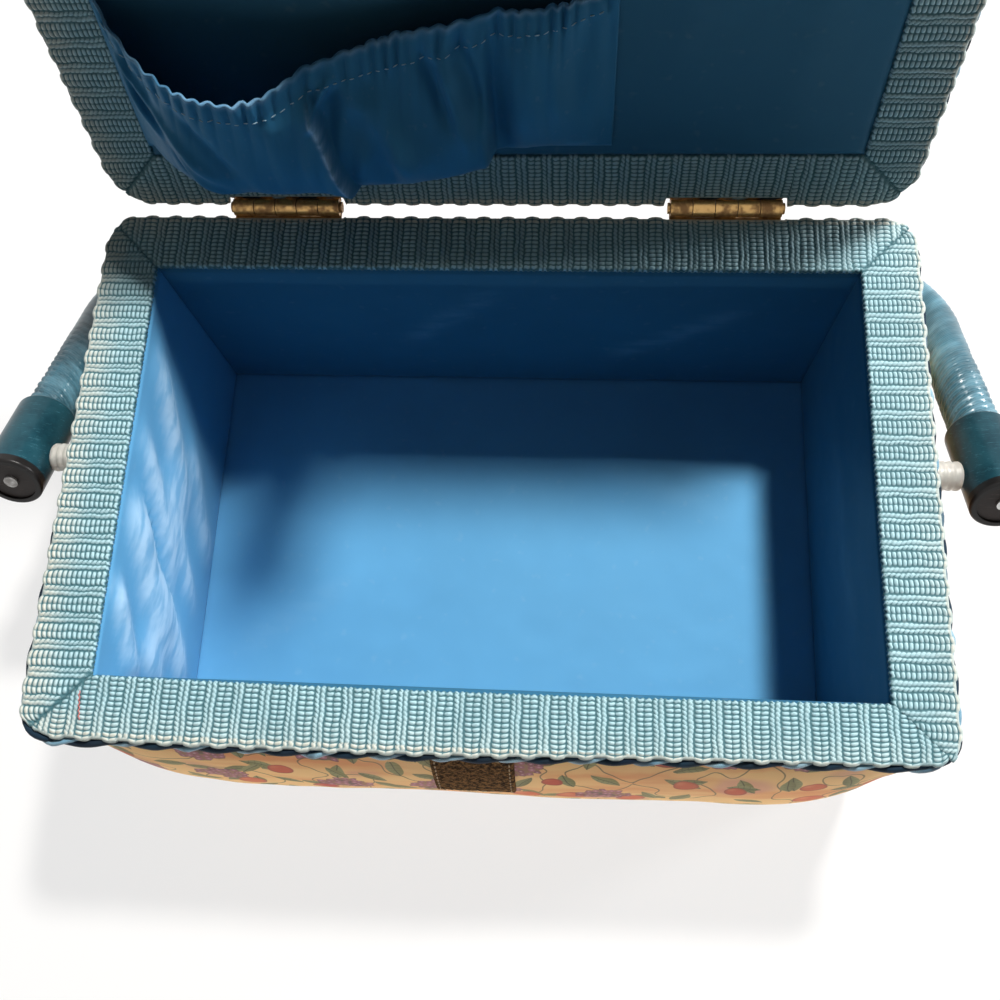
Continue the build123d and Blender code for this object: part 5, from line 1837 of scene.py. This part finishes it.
# --- handle ---
WINDING_START = 9.0          # from the pivot, inside the end sleeve
WINDING_ROUND = 0.05         # metres once round the winding
SPACER_INNER = 132.6         # a spacer's end inside the wall's padding
SPACER_FIRST_RIB = 138.5
SPACER_RIBS = 5


def wound_handle(handle):
    """Winding on the bail: ridged near the sleeves and worn smooth in the middle."""
    length = bail_length(WINDING_START)
    pitch = handle.winding / MM
    bands = round(length / pitch)

    def relief(u, v):
        distance = u * length
        nearest = min(distance, length - distance) + WINDING_START
        shown = smooth(nearest, FERRULE_NOSE - 0.5, FERRULE_NOSE + 2.0)
        worn = 0.12 + 0.88 * (1 - smooth(nearest, 32.0, 72.0))
        side = 1 if distance < length / 2 else -1
        phase = bands * u + side * handle.starts * v
        ridge = abs(math.sin(math.pi * phase)) ** 0.7
        return shown * worn, ridge, phase

    def place(u, v):
        point, tangent, inward = bail_at(u * length, WINDING_START)
        up = tangent.cross(inward)
        across, above = math.cos(2 * math.pi * v), math.sin(2 * math.pi * v)
        amount, ridge, _ = relief(u, v)
        lump = 0.3 * noise.noise(point * 0.11)
        lump += 0.3 * noise.noise(Vector((u * length * 0.16, 1.2 * across, 1.2 * above)))
        radius = WIND_RADIUS - 0.2 + amount * 1.5 * (ridge - 0.7) + lump * (0.3 + 0.7 * amount)
        return point + (inward * across + up * above) * radius

    # how far the painted groove shade darkens: low in the grooves near the sleeves
    def lay(u, v):
        amount, ridge, _ = relief(u, v)
        return 1 - amount * (1 - ridge)

    def flat(u, v):
        return relief(u, v)[2] * pitch * MM, v * WINDING_ROUND

    bm = cloth_grid(bands * 5, 30, place, lay=lay, uv=flat)
    weld(bm)
    bmesh.ops.holes_fill(bm, edges=[edge for edge in bm.edges if edge.is_boundary], sides=0)
    bmesh.ops.recalc_face_normals(bm, faces=bm.faces)
    return bm


def ribbed_spacer(side):
    """Clear sleeve between the wall and an arm, with moulded ribs."""
    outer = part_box("handle_spacers")[1].x / MM
    step = (outer - SPACER_FIRST_RIB - 0.2) / SPACER_RIBS
    profile = [(SPACER_INNER, 2.2), (SPACER_INNER, 4.5)]
    for rib in range(SPACER_RIBS):
        base = SPACER_FIRST_RIB + step * rib
        profile += [(base, 4.4), (base + 0.3 * step, 4.75), (base + 0.7 * step, 4.8)]
        profile.append((base + 0.95 * step, 4.45))
    profile += [(outer - 0.1, 4.1), (outer, 3.9), (outer, 2.2)]
    bm = bmesh.new()
    verts = [bm.verts.new((side * x, PIVOT.y, PIVOT.z + r)) for x, r in profile]
    edges = [bm.edges.new(pair) for pair in zip(verts, [*verts[1:], verts[0]])]
    geom = [*verts, *edges]
    bmesh.ops.spin(bm, geom=geom, cent=PIVOT, axis=(1, 0, 0), angle=2 * math.pi, steps=32, use_merge=True)
    weld(bm)
    return bm


class SEWINGBOX_OT_handle(bpy.types.Operator):
    """Wind the handle with glossy cord, and make its clear spacers"""

    bl_idname = "sewing_box.handle"
    bl_label = "Handle"

    def execute(self, context):
        bm = wound_handle(context.scene.sewing_handle)
        add_piece(bm, "handle_winding", "handle_cord", "handle", ("handle_wrap",))
        for name, side in (("left", -1), ("right", 1)):
            bm = ribbed_spacer(side)
            add_piece(bm, f"{name}_spacer", "clear_plastic", "box", ("handle_spacers",))
        return {"FINISHED"}


class SEWINGBOX_PT_panel(bpy.types.Panel):
    """Lists the steps that dress the box"""

    bl_idname = "SEWINGBOX_PT_panel"
    bl_label = "Sewing Box"
    bl_space_type = "VIEW_3D"
    bl_region_type = "UI"
    bl_category = "Sewing Box"

    def draw(self, context):
        for step in OPERATORS:
            self.layout.operator(step.bl_idname)
        for group_name in SETTINGS:
            box = self.layout.box()
            settings = getattr(context.scene, group_name)
            for name in settings.__annotations__:
                box.prop(settings, name)


OPERATORS = (
    SEWINGBOX_OT_stage,
    SEWINGBOX_OT_finishes,
    SEWINGBOX_OT_body_cover,
    SEWINGBOX_OT_lid_cover,
    SEWINGBOX_OT_linings,
    SEWINGBOX_OT_pocket,
    SEWINGBOX_OT_braid,
    SEWINGBOX_OT_cords,
    SEWINGBOX_OT_closure,
    SEWINGBOX_OT_handle,
)
SETTINGS = {
    "sewing_trim": TrimSettings,
    "sewing_cloth": ClothSettings,
    "sewing_handle": HandleSettings,
    "sewing_studio": StudioSettings,
}


def register():
    """Register the settings, the operators and the panel."""
    for item in (*SETTINGS.values(), *OPERATORS, SEWINGBOX_PT_panel):
        bpy.utils.register_class(item)
    for name, settings in SETTINGS.items():
        setattr(bpy.types.Scene, name, bpy.props.PointerProperty(type=settings))


def unregister():
    """Take the settings, the operators and the panel out again."""
    for name in SETTINGS:
        delattr(bpy.types.Scene, name)
    for item in reversed((*SETTINGS.values(), *OPERATORS, SEWINGBOX_PT_panel)):
        bpy.utils.unregister_class(item)


def main():
    register()
    for step in OPERATORS:
        group_name, name = step.bl_idname.split(".")
        getattr(getattr(bpy.ops, group_name), name)()


if __name__ == "__main__":
    main()
